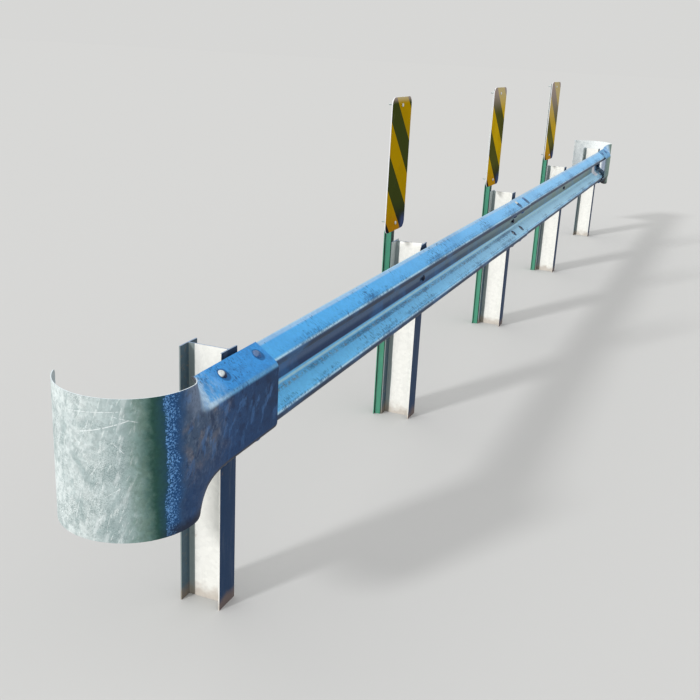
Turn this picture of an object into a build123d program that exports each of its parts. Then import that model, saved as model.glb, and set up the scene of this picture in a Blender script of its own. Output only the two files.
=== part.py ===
from build123d import *
import os
from math import atan2, cos, hypot, pi, radians, sin, tan

# Highway guardrail section: five steel posts, two lapped corrugated rail panels,
# a flared end section at each end and three striped hazard markers behind the posts.
# Millimetres. X runs along the rail, Y runs from the road side to the field side, Z is up.
# The origin is at the foot of the middle post, on the middle of its web.

# Posts
POST_COUNT = 5
POST_SPACING = 1905.0
POST_HEIGHT = 900.0
MIDDLE_POST_EXTRA = 16.0
POST_DEPTH = 150.0
POST_WIDTH = 100.0
POST_FLANGE = 5.5
POST_WEB = 4.3
POST_ROOT = 6.0

# Corrugated rail section
SHEET = 2.7
RAIL_CENTRE = 726.0
RAIL_DEPTH = 83.0
CREST_RISE = 97.0
CREST_RADIUS = 27.0
VALLEY_RADIUS = 24.0
FLANK_SLOPE = 35.0
LIP_SETBACK = 14.0

# Rail panels and their lap at the middle post
LAP = 318.0
LAP_GAP = 0.3
SWAY_LENGTH = 560.0
SWAY_START = 41.0

# Bolt rows and columns
ROW_FROM_CREST = 41.0
BOLT_COLUMN = 108.0
SPLICE_SLOT_LENGTH = 29.0
SPLICE_SLOT_WIDTH = 23.0
POST_SLOT_LENGTH = 64.0
POST_SLOT_WIDTH = 19.0
POST_BOLT_SHIFT = 22.5

# Button-head bolts
BOLT = 16.0
HEAD_WIDTH = 33.0
HEAD_HEIGHT = 9.0
HEAD_RINGS = 3
NUT_FLATS = 26.0
NUT_HEIGHT = 13.0
THREAD_END = 7.0
SEAT = 0.3

# End sections
END_SHEET = 2.7
END_DRIFT = 16.0
END_EDGE = 50.0
END_FACE = 100.0
END_FOLD_RADIUS = 30.0
END_FLANK = 103.5
PLATE_FLANK = 99.0
END_SLACK = 10.0
LOW_FLARE = 150.0
TOP_FLARE = 230.0
PLATE_REACH = 383.0
FLARE_STEPS = 6
NEAR_PLATE_OUT = 10.0
FAR_PLATE_OUT = -30.0
CURL_RADIUS = 207.0
CURL_ANGLE = 158.0
CURL_CORNER = 14.0

# Hazard markers behind the three middle posts
MARKER_SHIFT = -32.0
CHANNEL_WIDTH = 72.0
CHANNEL_DEPTH = 34.0
CHANNEL_WEB = 32.0
CHANNEL_LIP = 12.0
CHANNEL_SHEET = 3.5
CHANNEL_FOLD = 5.0
CHANNEL_SHORT = 16.0
PANEL_WIDTH = 266.0
PANEL_HEIGHT = 630.0
PANEL_SHEET = 5.0
PANEL_CORNER = 38.0
PANEL_ABOVE_POST = 55.0
PANEL_BOLT_INSET = 38.0
PANEL_BOLT = 10.0
PANEL_BOLT_REACH = 62.0
PANEL_BOLT_HEAD = 17.0
PANEL_BOLT_HEAD_HEIGHT = 6.0
PANEL_NUT_HEIGHT = 8.0
HOLE_PLAY = 1.0
MIDDLE_MARKER_TURN = 3.0
FAR_MARKER_TURN = 4.0

# Sizes worked out from the ones above
MIDDLE = POST_COUNT // 2
POST_PLACES = [(number - MIDDLE) * POST_SPACING for number in range(POST_COUNT)]
END_POST = POST_PLACES[-1]
END_SPLICE = END_POST + END_DRIFT
ROAD_FACE = -POST_DEPTH / 2
FIELD_FACE = POST_DEPTH / 2
SLOPE = radians(FLANK_SLOPE)
FOLD = pi / 2 - SLOPE
CREST_APEX = RAIL_DEPTH - CREST_RADIUS + (CREST_RADIUS - SHEET / 2) / sin(SLOPE)
LAP_SHIFT = (SHEET + LAP_GAP) / sin(SLOPE)
RAIL_END = END_SPLICE + LAP / 2
END_START = END_SPLICE - BOLT_COLUMN - END_EDGE
PLATE_START = END_POST + PLATE_REACH
END_SKIN = (SHEET / 2 + LAP_GAP + END_SHEET / 2) / cos(SLOPE)
END_FOLD_RISE = CREST_RISE + (CREST_APEX - END_FACE + END_SHEET / 2) * tan(SLOPE) + END_SKIN
END_COVER = LAP_GAP + END_SHEET
PANEL_FOOT = POST_HEIGHT + PANEL_ABOVE_POST
PANEL_TOP = PANEL_FOOT + PANEL_HEIGHT


def unit(first, second):
    """Direction from one point of a plan or section to the next."""
    run = hypot(second[0] - first[0], second[1] - first[1])
    return ((second[0] - first[0]) / run, (second[1] - first[1]) / run)


def moved_line(points, distance):
    """Corner points of a bent line after moving it sideways, to its left."""
    moved = []
    for index, point in enumerate(points):
        before = unit(points[max(index - 1, 0)], points[max(index, 1)])
        last = len(points) - 1
        after = unit(points[min(index, last - 1)], points[min(index + 1, last)])
        normal = (-before[1] - after[1], before[0] + after[0])
        reach = distance * 2 / (normal[0] ** 2 + normal[1] ** 2)
        moved.append((point[0] + normal[0] * reach, point[1] + normal[1] * reach))
    return moved


def rounded_line(points, rounds, place):
    """Edges through the corner points, each corner with (radius, reach along its sides)."""
    edges = []
    start = points[0]
    for before, corner, after, (radius, reach) in zip(points, points[1:], points[2:], rounds):
        into = unit(before, corner)
        out = unit(corner, after)
        first = (corner[0] - into[0] * reach, corner[1] - into[1] * reach)
        last = (corner[0] + out[0] * reach, corner[1] + out[1] * reach)
        edges.append(Line(place(start), place(first)))
        inward = (out[0] - into[0], out[1] - into[1])
        bend = hypot(*inward)
        if bend < 0.0001:
            edges.append(Line(place(first), place(last)))
        else:
            sag = hypot(radius, reach) - radius
            middle = (corner[0] + inward[0] / bend * sag, corner[1] + inward[1] / bend * sag)
            edges.append(ThreePointArc(place(first), place(middle), place(last)))
        start = last
    edges.append(Line(place(start), place(points[-1])))
    return edges


def corner_turn(before, corner, after):
    """Angle a bent line turns by at a corner, positive to the left."""
    into = unit(before, corner)
    out = unit(corner, after)
    return atan2(into[0] * out[1] - into[1] * out[0], into[0] * out[0] + into[1] * out[1])


def fold_reaches(points, radii):
    """How far each fold of this middle radius reaches along its sides."""
    corners = zip(points, points[1:], points[2:], radii)
    return [radius * tan(abs(corner_turn(*corner)) / 2) for *corner, radius in corners]


def sheet_section(points, reaches, thick, place):
    """Face of a folded sheet, from its middle line and how far each fold reaches from its corner."""
    sides = []
    for side in (thick / 2, -thick / 2):
        line = moved_line(points, side)
        rounds = []
        for before, corner, after, reach in zip(points, points[1:], points[2:], reaches):
            half = tan(corner_turn(before, corner, after) / 2)
            own = reach - side * half
            rounds.append((own / abs(half) if half else 0.0, own))
        sides.append((line, rounds))
    (left, left_rounds), (right, right_rounds) = sides
    edges = rounded_line(left, left_rounds, place)
    edges.append(Line(place(left[-1]), place(right[-1])))
    edges += rounded_line(right[::-1], right_rounds[::-1], place)
    edges.append(Line(place(right[0]), place(left[0])))
    return make_face(edges)


def section_at(x, shift=0.0):
    """Puts a section point (out from the post face, up from the rail centre) in space."""
    return lambda point: Vector(x, ROAD_FACE - point[0] - shift, RAIL_CENTRE + point[1])


def rail_section(x, shift=0.0):
    """The two-crest rail section, from its lower lip to its upper lip."""
    valley = SHEET / 2
    valley_rise = CREST_RISE - (CREST_APEX - valley) * tan(SLOPE)
    lip_rise = CREST_RISE + (CREST_APEX - LIP_SETBACK) * tan(SLOPE)
    points = [
        (LIP_SETBACK, -lip_rise),
        (CREST_APEX, -CREST_RISE),
        (valley, -valley_rise),
        (valley, valley_rise),
        (CREST_APEX, CREST_RISE),
        (LIP_SETBACK, lip_rise),
    ]
    crest = CREST_RADIUS - SHEET / 2
    bend = VALLEY_RADIUS + SHEET / 2
    reaches = fold_reaches(points, [crest, bend, bend, crest])
    return sheet_section(points, reaches, SHEET, section_at(x, shift))


def rail_point(x, rise, lift=0.0):
    """Plane on the road side of a rail flank at a height from the rail centre, lifted along its normal."""
    crest = CREST_RISE if rise > 0 else -CREST_RISE
    away = abs(rise - crest)
    out = CREST_APEX + SHEET / 2 / sin(SLOPE) - away / tan(SLOPE)
    way = 1 if rise > crest else -1
    normal = Vector(0, -sin(SLOPE), way * cos(SLOPE))
    foot = Vector(x, ROAD_FACE - out, RAIL_CENTRE + rise)
    return Plane(origin=foot + normal * lift, x_dir=(1, 0, 0), z_dir=normal)


def valley_point(x, lift=0.0):
    """Plane on the road side of the rail's valley."""
    face = Vector(x, ROAD_FACE - SHEET - lift, RAIL_CENTRE)
    return Plane(origin=face, x_dir=(1, 0, 0), z_dir=(0, -1, 0))


def slot(plane, length, width):
    """A slotted hole's cutter, reaching well through the sheets at a plane."""
    return extrude(plane * SlotOverall(length, width), 4 * SHEET, both=True)


def run_of_rail(start, end, shift):
    """A straight run of the rail section."""
    return extrude(rail_section(start, shift), end - start, dir=(1, 0, 0))


top_row = CREST_RISE + ROW_FROM_CREST
upper_under_row = CREST_RISE - ROW_FROM_CREST
lower_over_row = -CREST_RISE + ROW_FROM_CREST
low_row = -CREST_RISE - ROW_FROM_CREST


def cut_slots(panel, splices, posts):
    """Cuts a panel's flank slots at its splices (place, shift) and its post slots in the valley."""
    for place, shift in splices:
        for side in (-1, 1):
            for rise in (top_row, upper_under_row, lower_over_row, low_row):
                hole = rail_point(place + side * BOLT_COLUMN, rise, shift * sin(SLOPE))
                panel -= slot(hole, SPLICE_SLOT_LENGTH, SPLICE_SLOT_WIDTH)
    for place in posts:
        panel -= slot(valley_point(place), POST_SLOT_LENGTH, POST_SLOT_WIDTH)
    return panel


def near_panel():
    """The rail panel that laps over the other one, swayed off the posts towards its lap."""
    lap_start = -LAP / 2 - SWAY_START
    sway_start = lap_start - SWAY_LENGTH
    flush = run_of_rail(-RAIL_END, sway_start, 0.0)
    path = Vector(SWAY_LENGTH, -LAP_SHIFT, 0)
    sway = extrude(rail_section(sway_start), path.length, dir=path)
    lap = run_of_rail(lap_start, LAP / 2, LAP_SHIFT)
    splices = [(-END_SPLICE, 0.0), (0.0, LAP_SHIFT)]
    return cut_slots(flush + sway + lap, splices, POST_PLACES[: MIDDLE + 1])


def far_panel():
    """The rail panel that lies flush on the posts all along."""
    panel = run_of_rail(-LAP / 2, RAIL_END, 0.0)
    return cut_slots(panel, [(0.0, 0.0), (END_SPLICE, 0.0)], POST_PLACES[MIDDLE:])


def post(place):
    """A rolled wide-flange post with a bolt hole in its road-side flange."""
    half_web = POST_WEB / 2
    inner = POST_DEPTH / 2 - POST_FLANGE
    height = POST_HEIGHT + (MIDDLE_POST_EXTRA if place == 0 else 0)
    outline = Rectangle(POST_WIDTH, POST_DEPTH)
    for side in (-1, 1):
        bay = Rectangle(POST_WIDTH / 2 - half_web, 2 * inner)
        bay = Pos(side * (POST_WIDTH / 2 + half_web) / 2, 0) * bay
        roots = [corner for corner in bay.vertices() if abs(corner.X) < POST_WIDTH / 4]
        outline -= fillet(roots, POST_ROOT)
    body = extrude(outline, height)
    hole = Plane(origin=(POST_BOLT_SHIFT, ROAD_FACE, RAIL_CENTRE), x_dir=(1, 0, 0), z_dir=(0, -1, 0))
    body -= extrude(hole * Circle(BOLT / 2 + HOLE_PLAY), 2 * POST_FLANGE, both=True)
    return Pos(place, 0, 0) * body


def button_bolt(grip):
    """Button-head bolt and its nut, head underside at zero, shank down, for a stack this thick."""
    cap_radius = (HEAD_WIDTH ** 2 / 4 + HEAD_HEIGHT ** 2) / (2 * HEAD_HEIGHT)
    half_cap = atan2(HEAD_WIDTH / 2, cap_radius - HEAD_HEIGHT)
    crown = [(0, 0, 0)]
    for ring in range(HEAD_RINGS, -1, -1):
        angle = half_cap * ring / HEAD_RINGS
        crown.append((cap_radius * sin(angle), 0, cap_radius * cos(angle) - cap_radius + HEAD_HEIGHT))
    head = revolve(make_face(Polyline(*crown, close=True)), Axis.Z)
    nut_face = grip + 2 * SEAT
    length = nut_face + NUT_HEIGHT + THREAD_END
    shank = extrude(Circle(BOLT / 2), -length)
    nut = Pos(0, 0, -nut_face) * extrude(RegularPolygon(NUT_FLATS / 2, 6, major_radius=False), -NUT_HEIGHT)
    return Pos(0, 0, SEAT) * (head + shank + nut)


def rail_bolt(x, rise, cover):
    """A bolt through a rail flank and what lies over it, its head on the outside."""
    return rail_point(x, rise, cover) * button_bolt(cover + SHEET)


def post_bolt(place):
    """The bolt that holds the rail's valley to the post's road-side flange."""
    lift = LAP_SHIFT if place == 0 else 0.0
    plane = valley_point(place + POST_BOLT_SHIFT, lift)
    return plane * button_bolt(lift + SHEET + POST_FLANGE)


def pair(maker, *places):
    """Like pieces in one node, one at each place."""
    return Compound([maker(place) for place in places])


def eased(x, start):
    """Smooth share from a flare's start (0) to the flat plate (1)."""
    share = min(max((x - start) / (PLATE_START - start), 0.0), 1.0)
    return share * share * (3 - 2 * share)


def end_section_face(x, plate_out):
    """The end section's folded sheet at one station: hat over the rail, opening to the flat plate."""
    face = END_FACE - END_SHEET / 2
    top = FOLD * (1 - eased(x, END_POST + TOP_FLARE))
    low = FOLD * (1 - eased(x, END_POST + LOW_FLARE))
    low_fold = END_FOLD_RISE + END_SLACK
    top_flank = PLATE_FLANK + (END_FLANK - PLATE_FLANK) * top / FOLD
    low_flank = PLATE_FLANK + (END_FLANK - PLATE_FLANK) * low / FOLD
    points = [
        (face - low_flank * sin(low), -low_fold - low_flank * cos(low)),
        (face, -low_fold),
        (face, END_FOLD_RISE),
        (face - top_flank * sin(top), END_FOLD_RISE + top_flank * cos(top)),
    ]
    reach = END_FOLD_RADIUS * tan(FOLD / 2)
    return sheet_section(points, [reach, reach], END_SHEET, section_at(x, plate_out * eased(x, RAIL_END)))


def end_curl(plate_out):
    """The end section's curl, from the flat plate back towards the field side."""
    front = ROAD_FACE - END_FACE - plate_out
    centre = (PLATE_START, front + CURL_RADIUS)
    foot = RAIL_CENTRE - END_FOLD_RISE - END_SLACK - PLATE_FLANK
    height = 2 * END_FOLD_RISE + END_SLACK + 2 * PLATE_FLANK
    ring = Circle(CURL_RADIUS) - Circle(CURL_RADIUS - END_SHEET)
    sweep = radians(CURL_ANGLE)
    reach = 3 * CURL_RADIUS
    rays = [(0, 0)]
    for share in range(4):
        angle = -pi / 2 + sweep * share / 3
        rays.append((reach * cos(angle), reach * sin(angle)))
    sector = make_face(Polyline(*rays, close=True))
    curl = extrude(Pos(*centre, foot) * (ring & sector), height)
    edge_angle = -pi / 2 + sweep
    tip = Vector(centre[0] + CURL_RADIUS * cos(edge_angle), centre[1] + CURL_RADIUS * sin(edge_angle), 0)
    corners = []
    for edge in curl.edges():
        place = edge.center()
        beside = (place - Vector(tip.X, tip.Y, place.Z)).length < END_SHEET
        if beside and edge.length < 2 * END_SHEET:
            corners.append(edge)
    return fillet(corners, CURL_CORNER)


def end_section(plate_out):
    """The far end section, its plate this much nearer the road than its hat."""
    flare_start = END_POST + LOW_FLARE
    hat = extrude(end_section_face(END_START, plate_out), flare_start - END_START, dir=(1, 0, 0))
    stations = []
    for step in range(FLARE_STEPS + 1):
        x = flare_start + (PLATE_START - flare_start) * step / FLARE_STEPS
        stations.append(end_section_face(x, plate_out))
    section = hat + loft(stations, ruled=True) + end_curl(plate_out)
    for side in (-1, 1):
        for rise in (top_row, low_row):
            hole = rail_point(END_SPLICE + side * BOLT_COLUMN, rise, END_SLACK if rise < 0 else 0.0)
            section -= slot(hole, SPLICE_SLOT_LENGTH, SPLICE_SLOT_WIDTH)
    return section


def marker_place(place, turn):
    """Where a marker stands at its post, turned to the road and still clear of the post's flange."""
    clear = CHANNEL_WEB / 2 * sin(radians(turn))
    seat = Pos(place + MARKER_SHIFT, FIELD_FACE + clear, 0)
    return seat * Rot(0, 0, -turn) * Pos(0, -FIELD_FACE, 0)


def channel_post(stand):
    """The folded channel that carries a marker, its web against the post's field-side flange."""
    seat = FIELD_FACE + CHANNEL_SHEET / 2
    back = FIELD_FACE + CHANNEL_DEPTH - CHANNEL_SHEET / 2
    points = [
        (-CHANNEL_WIDTH / 2, back),
        (-CHANNEL_WIDTH / 2 + CHANNEL_LIP, back),
        (-CHANNEL_WEB / 2, seat),
        (CHANNEL_WEB / 2, seat),
        (CHANNEL_WIDTH / 2 - CHANNEL_LIP, back),
        (CHANNEL_WIDTH / 2, back),
    ]
    reaches = fold_reaches(points, [CHANNEL_FOLD] * 4)
    outline = sheet_section(points, reaches, CHANNEL_SHEET, lambda point: Vector(*point, 0))
    body = extrude(outline, PANEL_TOP - CHANNEL_SHORT)
    for rise in panel_bolt_rises():
        body -= panel_hole(rise)
    return stand * body


def panel_bolt_rises():
    """Heights of a marker panel's two bolts."""
    return [PANEL_FOOT + PANEL_BOLT_INSET, PANEL_TOP - PANEL_BOLT_INSET]


def panel_hole(rise):
    """Cutter for one marker bolt hole."""
    plane = Plane(origin=(0, FIELD_FACE, rise), x_dir=(1, 0, 0), z_dir=(0, -1, 0))
    return extrude(plane * Circle(PANEL_BOLT / 2 + HOLE_PLAY / 2), 2 * CHANNEL_SHEET, both=True)


def marker_panel(stand):
    """A marker's flat panel with rounded corners, facing the road."""
    middle = (PANEL_FOOT + PANEL_TOP) / 2
    face = Plane(origin=(0, FIELD_FACE, middle), x_dir=(1, 0, 0), z_dir=(0, -1, 0))
    body = extrude(face * RectangleRounded(PANEL_WIDTH, PANEL_HEIGHT, PANEL_CORNER), PANEL_SHEET)
    for rise in panel_bolt_rises():
        body -= panel_hole(rise)
    return stand * body


def marker_bolt(stand, rise):
    """A marker's long bolt: low head on the panel, nut behind the channel's web."""
    front = FIELD_FACE - PANEL_SHEET - SEAT
    plane = Plane(origin=(0, front, rise), x_dir=(1, 0, 0), z_dir=(0, -1, 0))
    head = extrude(Circle(PANEL_BOLT_HEAD / 2), PANEL_BOLT_HEAD_HEIGHT)
    head = chamfer(head.edges().sort_by(Axis.Z)[-1], PANEL_BOLT_HEAD_HEIGHT / 2)
    shank = extrude(Circle(PANEL_BOLT / 2), -PANEL_BOLT_REACH - PANEL_SHEET)
    nut_face = PANEL_SHEET + CHANNEL_SHEET + 2 * SEAT
    nut = extrude(RegularPolygon(PANEL_BOLT_HEAD / 2, 6, major_radius=False), -PANEL_NUT_HEIGHT)
    return stand * (plane * (head + shank + Pos(0, 0, -nut_face) * nut))


parts = {}

for number, place in enumerate(POST_PLACES, start=1):
    parts[f"post_{number}"] = post(place)
    parts[f"post_bolt_{number}"] = post_bolt(place)

parts["rail_near"] = near_panel()
parts["rail_far"] = far_panel()

parts["end_section_far"] = end_section(FAR_PLATE_OUT)
parts["end_section_near"] = mirror(end_section(NEAR_PLATE_OUT), about=Plane.YZ)

splice_rows = {"top": top_row, "upper_under": upper_under_row, "low": low_row}
for level, rise in splice_rows.items():
    cover = LAP_GAP + SHEET
    parts[f"splice_bolts_{level}"] = pair(lambda x: rail_bolt(x, rise, cover), -BOLT_COLUMN, BOLT_COLUMN)

for end, way in (("near", -1), ("far", 1)):
    inner = way * (END_SPLICE - BOLT_COLUMN)
    outer = way * (END_SPLICE + BOLT_COLUMN)
    low_cover = END_COVER + END_SLACK * cos(SLOPE)
    parts[f"end_bolts_{end}_top"] = pair(lambda x: rail_bolt(x, top_row, END_COVER), inner, outer)
    parts[f"end_bolts_{end}_low"] = pair(lambda x: rail_bolt(x, low_row, low_cover), inner, outer)

turns = [0.0, MIDDLE_MARKER_TURN, FAR_MARKER_TURN]
for number, place in enumerate(POST_PLACES[1:-1]):
    stand = marker_place(place, turns[number % len(turns)])
    parts[f"marker_post_{number + 1}"] = channel_post(stand)
    parts[f"marker_panel_{number + 1}"] = marker_panel(stand)
    parts[f"marker_bolts_{number + 1}"] = pair(lambda rise: marker_bolt(stand, rise), *panel_bolt_rises())

os.makedirs("parts", exist_ok=True)
for name, shape in parts.items():
    export_step(shape, f"parts/{name}.step")
    print(name, round(shape.volume / 1000), "cm3")
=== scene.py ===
# %% [markdown]
# # A run of highway guardrail
# Five rolled steel posts carry two corrugated rail panels that lap at the middle post.
# A folded end section closes each end with a curl, and three striped markers stand behind the posts.
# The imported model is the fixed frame: it gives every place and size, in metres.
# Every piece made here takes the place of a plain solid of that frame.

# %% Frame
from math import atan2, cos, hypot, pi, radians, sin, tan

import bpy
import numpy as np
from mathutils import Matrix, Vector


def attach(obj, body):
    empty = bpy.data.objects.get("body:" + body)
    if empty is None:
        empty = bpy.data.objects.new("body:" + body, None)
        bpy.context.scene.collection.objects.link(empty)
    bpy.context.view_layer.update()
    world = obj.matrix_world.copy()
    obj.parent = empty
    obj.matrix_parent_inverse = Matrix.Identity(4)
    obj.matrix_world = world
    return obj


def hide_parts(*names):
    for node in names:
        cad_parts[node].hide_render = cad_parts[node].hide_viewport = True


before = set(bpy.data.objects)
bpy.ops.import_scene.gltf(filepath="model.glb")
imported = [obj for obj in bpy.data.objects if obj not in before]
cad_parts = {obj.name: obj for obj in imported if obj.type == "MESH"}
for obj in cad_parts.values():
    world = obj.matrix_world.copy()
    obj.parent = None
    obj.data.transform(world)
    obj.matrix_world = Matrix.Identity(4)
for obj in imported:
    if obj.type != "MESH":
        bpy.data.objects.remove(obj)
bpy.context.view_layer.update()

print("frame", len(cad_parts), "nodes")

# %% [markdown]
# ## Sizes
# The same sizes shape the solids, so that a piece lies exactly where its solid does.
# X runs along the rail, the road is on the -Y side and the origin is the foot of the middle post.

# %% Sizes
POST_SPACING = 1.905
POST_PLACES = [(number - 2) * POST_SPACING for number in range(5)]
POST_DEPTH = 0.150
POST_WIDTH = 0.100
POST_FLANGE = 0.0055
POST_WEB = 0.0043
POST_ROOT = 0.006
POST_HEIGHTS = [0.900, 0.900, 0.916, 0.900, 0.900]
ROAD_FACE = -POST_DEPTH / 2
FIELD_FACE = POST_DEPTH / 2

SHEET = 0.0027
SHEET_GAP = 0.0003
RAIL_CENTRE = 0.726
RAIL_DEPTH = 0.083
CREST_RISE = 0.097
CREST_RADIUS = 0.027
VALLEY_RADIUS = 0.024
SLOPE = radians(35)
LIP_SETBACK = 0.014
LAP = 0.318
LAP_SHIFT = (SHEET + SHEET_GAP) / sin(SLOPE)
SWAY_FROM = -0.760
SWAY_TO = -0.200
ROW = 0.041
COLUMN = 0.108
COLUMNS = (-COLUMN, COLUMN)
END_SPLICE = POST_PLACES[-1] + 0.016
RAIL_END = END_SPLICE + LAP / 2
CREST_APEX = RAIL_DEPTH - CREST_RADIUS + (CREST_RADIUS - SHEET / 2) / sin(SLOPE)
print("rail ends at", round(RAIL_END, 3))

# %% [markdown]
# ## Camera
# The photograph's camera was worked out from the posts' spacing and the rail's edges.
# Its three directions are written down as they are, so nothing has to be aimed.

# %% Camera
PHOTO_SIDE = 700
FOCAL_PIXELS = 942.6
SENSOR_WIDTH = 36
VIEW_LIMIT = 200
EYE = Vector((-6.2275, -1.4291, 1.8165))
LOOK = Vector((0.8839, 0.3498, -0.3107)).normalized()
ACROSS = Vector((0.3827, -0.9226, 0.0497)).normalized()


def add_object(name, data):
    """A new object with its data, linked into the scene."""
    made = bpy.data.objects.new(name, data)
    bpy.context.scene.collection.objects.link(made)
    return made


camera_data = bpy.data.cameras.new("roadside_camera")
camera_data.sensor_width = SENSOR_WIDTH
camera_data.lens = FOCAL_PIXELS / PHOTO_SIDE * SENSOR_WIDTH
camera_data.clip_end = VIEW_LIMIT
camera = add_object("roadside_camera", camera_data)
axes = Matrix((ACROSS, ACROSS.cross(LOOK), -LOOK)).transposed()
camera.matrix_world = Matrix.Translation(EYE) @ axes.to_4x4()
bpy.context.scene.camera = camera
print("camera at", [round(value, 2) for value in EYE])

# %% [markdown]
# ## Node helpers
# The sky, the finishes and most shapes are made of nodes. A few helpers add them and link them up.
# A socket knows the tree that it belongs to, so a helper that is given a socket finds the tree by itself.

# %% Node helpers


def add_node(tree, kind, settings=None, **links):
    """Adds a node; links give its inputs by name, or by index where the name is a number after a _."""
    node = tree.nodes.new(kind)
    for name, value in (settings or {}).items():
        setattr(node, name, value)
    for name, value in links.items():
        key = int(name[1:]) if name[0] == "_" else name.replace("_", " ")
        if isinstance(value, bpy.types.NodeSocket):
            tree.links.new(value, node.inputs[key])
        else:
            node.inputs[key].default_value = value
    return node


def made_by(tree, kind, settings=None, **links):
    """The first output of a new node."""
    return add_node(tree, kind, settings, **links).outputs[0]


def join(output, entry):
    """Links an output to an input."""
    output.id_data.links.new(output, entry)


def operate(kind, operation, values):
    """The outputs of a Math or Vector Math node in the tree of the sockets among its values."""
    tree = next(value.id_data for value in values if isinstance(value, bpy.types.NodeSocket))
    links = {f"_{index}": value for index, value in enumerate(values)}
    return add_node(tree, kind, {"operation": operation}, **links).outputs


def maths(operation, *values):
    """A Math node's result."""
    return operate("ShaderNodeMath", operation, values)["Value"]


def vector_maths(operation, *values):
    """A Vector Math node's result: a number for a length or a dot product, otherwise a vector."""
    number = operation in ("LENGTH", "DOT_PRODUCT")
    return operate("ShaderNodeVectorMath", operation, values)["Value" if number else "Vector"]


def parts(vector):
    """The X, Y and Z of a vector."""
    return add_node(vector.id_data, "ShaderNodeSeparateXYZ", Vector=vector).outputs[:]


def combined(x, y, z):
    """A vector from its X, Y and Z, of which X is a socket."""
    return made_by(x.id_data, "ShaderNodeCombineXYZ", X=x, Y=y, Z=z)


print("node helpers made")

# %% [markdown]
# ## Light, floor and background
# A low sun stands behind the camera on the field side, so the webs of the posts are bright
# and the road side of the rail is in shade. A broad soft sun keeps that direction,
# and an even pale world fills the rest. The camera and the gloss see a pale grey instead of it.

# %% Light
WORLD_STRENGTH = 0.95
SUN_STRENGTH = 1.6
SUN_SPREAD = 0.12
SUN_RAY = Vector((0.80, -0.38, -0.454))
BACKGROUND = (0.680, 0.680, 0.669, 1)

bpy.context.scene.view_settings.view_transform = "Standard"
world = bpy.data.worlds.new("soft_sky")
bpy.context.scene.world = world
world.use_nodes = True
sky = world.node_tree
sky.nodes.clear()
path = add_node(sky, "ShaderNodeLightPath").outputs
looks = maths("MAXIMUM", path["Is Camera Ray"], path["Is Glossy Ray"])
looks = maths("MAXIMUM", looks, path["Is Transmission Ray"])
fill = made_by(sky, "ShaderNodeBackground", Color=(1, 1, 1, 1), Strength=WORLD_STRENGTH)
plain = made_by(sky, "ShaderNodeBackground", Color=BACKGROUND, Strength=1.0)
seen = made_by(sky, "ShaderNodeMixShader", _0=looks, _1=fill, _2=plain)
add_node(sky, "ShaderNodeOutputWorld", Surface=seen)

sun_data = bpy.data.lights.new("low_sun", "SUN")
sun_data.energy = SUN_STRENGTH
sun_data.angle = SUN_SPREAD
sun = add_object("low_sun", sun_data)
sun.rotation_euler = SUN_RAY.to_track_quat("-Z", "Y").to_euler()
print("light set")

# %% Floor
FLOOR_COLOUR = (0.58, 0.58, 0.57, 1)
FLOOR_REACH = 90

floor_mesh = bpy.data.meshes.new("floor")
ways = ((-1, -1), (1, -1), (1, 1), (-1, 1))
floor_mesh.from_pydata([(x * FLOOR_REACH, y * FLOOR_REACH, 0) for x, y in ways], [], [(0, 1, 2, 3)])
floor = add_object("floor", floor_mesh)
pale = bpy.data.materials.new("pale_floor")
pale.use_nodes = True
dull = {"Base Color": FLOOR_COLOUR, "Roughness": 0.9, "Specular IOR Level": 0.0}
for name, value in dull.items():
    pale.node_tree.nodes["Principled BSDF"].inputs[name].default_value = value
floor_mesh.materials.append(pale)
print("floor laid")

# %% [markdown]
# ## Shader helpers
# Every finish here is weathered zinc or paint, so the effects are shader node groups:
# each one is built once, with named inputs, and placed in every material with its own values.
# A group only works out colours, masks and heights. The shader itself stays in the material.
# A mask is a number from 0 to 1: masks are multiplied where all of them have to hold.

# %% Shader helpers
FLOAT, VECTOR = "NodeSocketFloat", "NodeSocketVector"


def new_group(name, kind, inputs, outputs):
    """An empty node group, the sockets that it is given and those of its result."""
    group = bpy.data.node_groups.new(name, kind)
    for label, socket, value in inputs:
        made = group.interface.new_socket(label, in_out="INPUT", socket_type=socket)
        if value is not None:
            made.default_value = value
    for label, socket in outputs:
        group.interface.new_socket(label, in_out="OUTPUT", socket_type=socket)
    return group, group.nodes.new("NodeGroupInput").outputs, group.nodes.new("NodeGroupOutput").inputs


def use_group(tree, group, **links):
    """The outputs of a node group placed in a tree."""
    return add_node(tree, "ShaderNodeGroup", {"node_tree": group}, **links).outputs


def spread(value, low, high, to_low=0.0, to_high=1.0):
    """Maps a value's range to another, smoothly and clamped."""
    return made_by(value.id_data, "ShaderNodeMapRange", {"interpolation_type": "SMOOTHSTEP"}, Value=value,
                   From_Min=low, From_Max=high, To_Min=to_low, To_Max=to_high)


def masked(first, *factors):
    """The product of a mask with other masks and shares."""
    for factor in factors:
        first = maths("MULTIPLY", first, factor)
    return first


def between(value, start, full, still_full, end):
    """A mask that rises from start to full and falls from still_full to end."""
    return masked(spread(value, start, full), spread(value, end, still_full))


def clamped(value):
    """A value kept from 0 to 1."""
    return made_by(value.id_data, "ShaderNodeClamp", Value=value)


def oval(across, rise, half_width, half_height):
    """Distance from the middle of an oval spot, 1 on its edge."""
    shares = combined(maths("DIVIDE", across, half_width), maths("DIVIDE", rise, half_height), 0)
    return vector_maths("LENGTH", shares)


def noise(where, scale, detail, output="Fac", **links):
    """A noise texture's result."""
    return add_node(where.id_data, "ShaderNodeTexNoise", Vector=where, Scale=scale, Detail=detail,
                    **links).outputs[output]


def turned(where, angle):
    """A place turned about Z."""
    return made_by(where.id_data, "ShaderNodeVectorRotate", {"rotation_type": "Z_AXIS"}, Vector=where,
                   Angle=angle)


print("mask helpers made")

# %% [markdown]
# Colours are written as in a paint program, from 0 to 255, and one helper turns them into linear light.
# They are mixed by a mask, or laid out along a value by a ramp.

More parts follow.
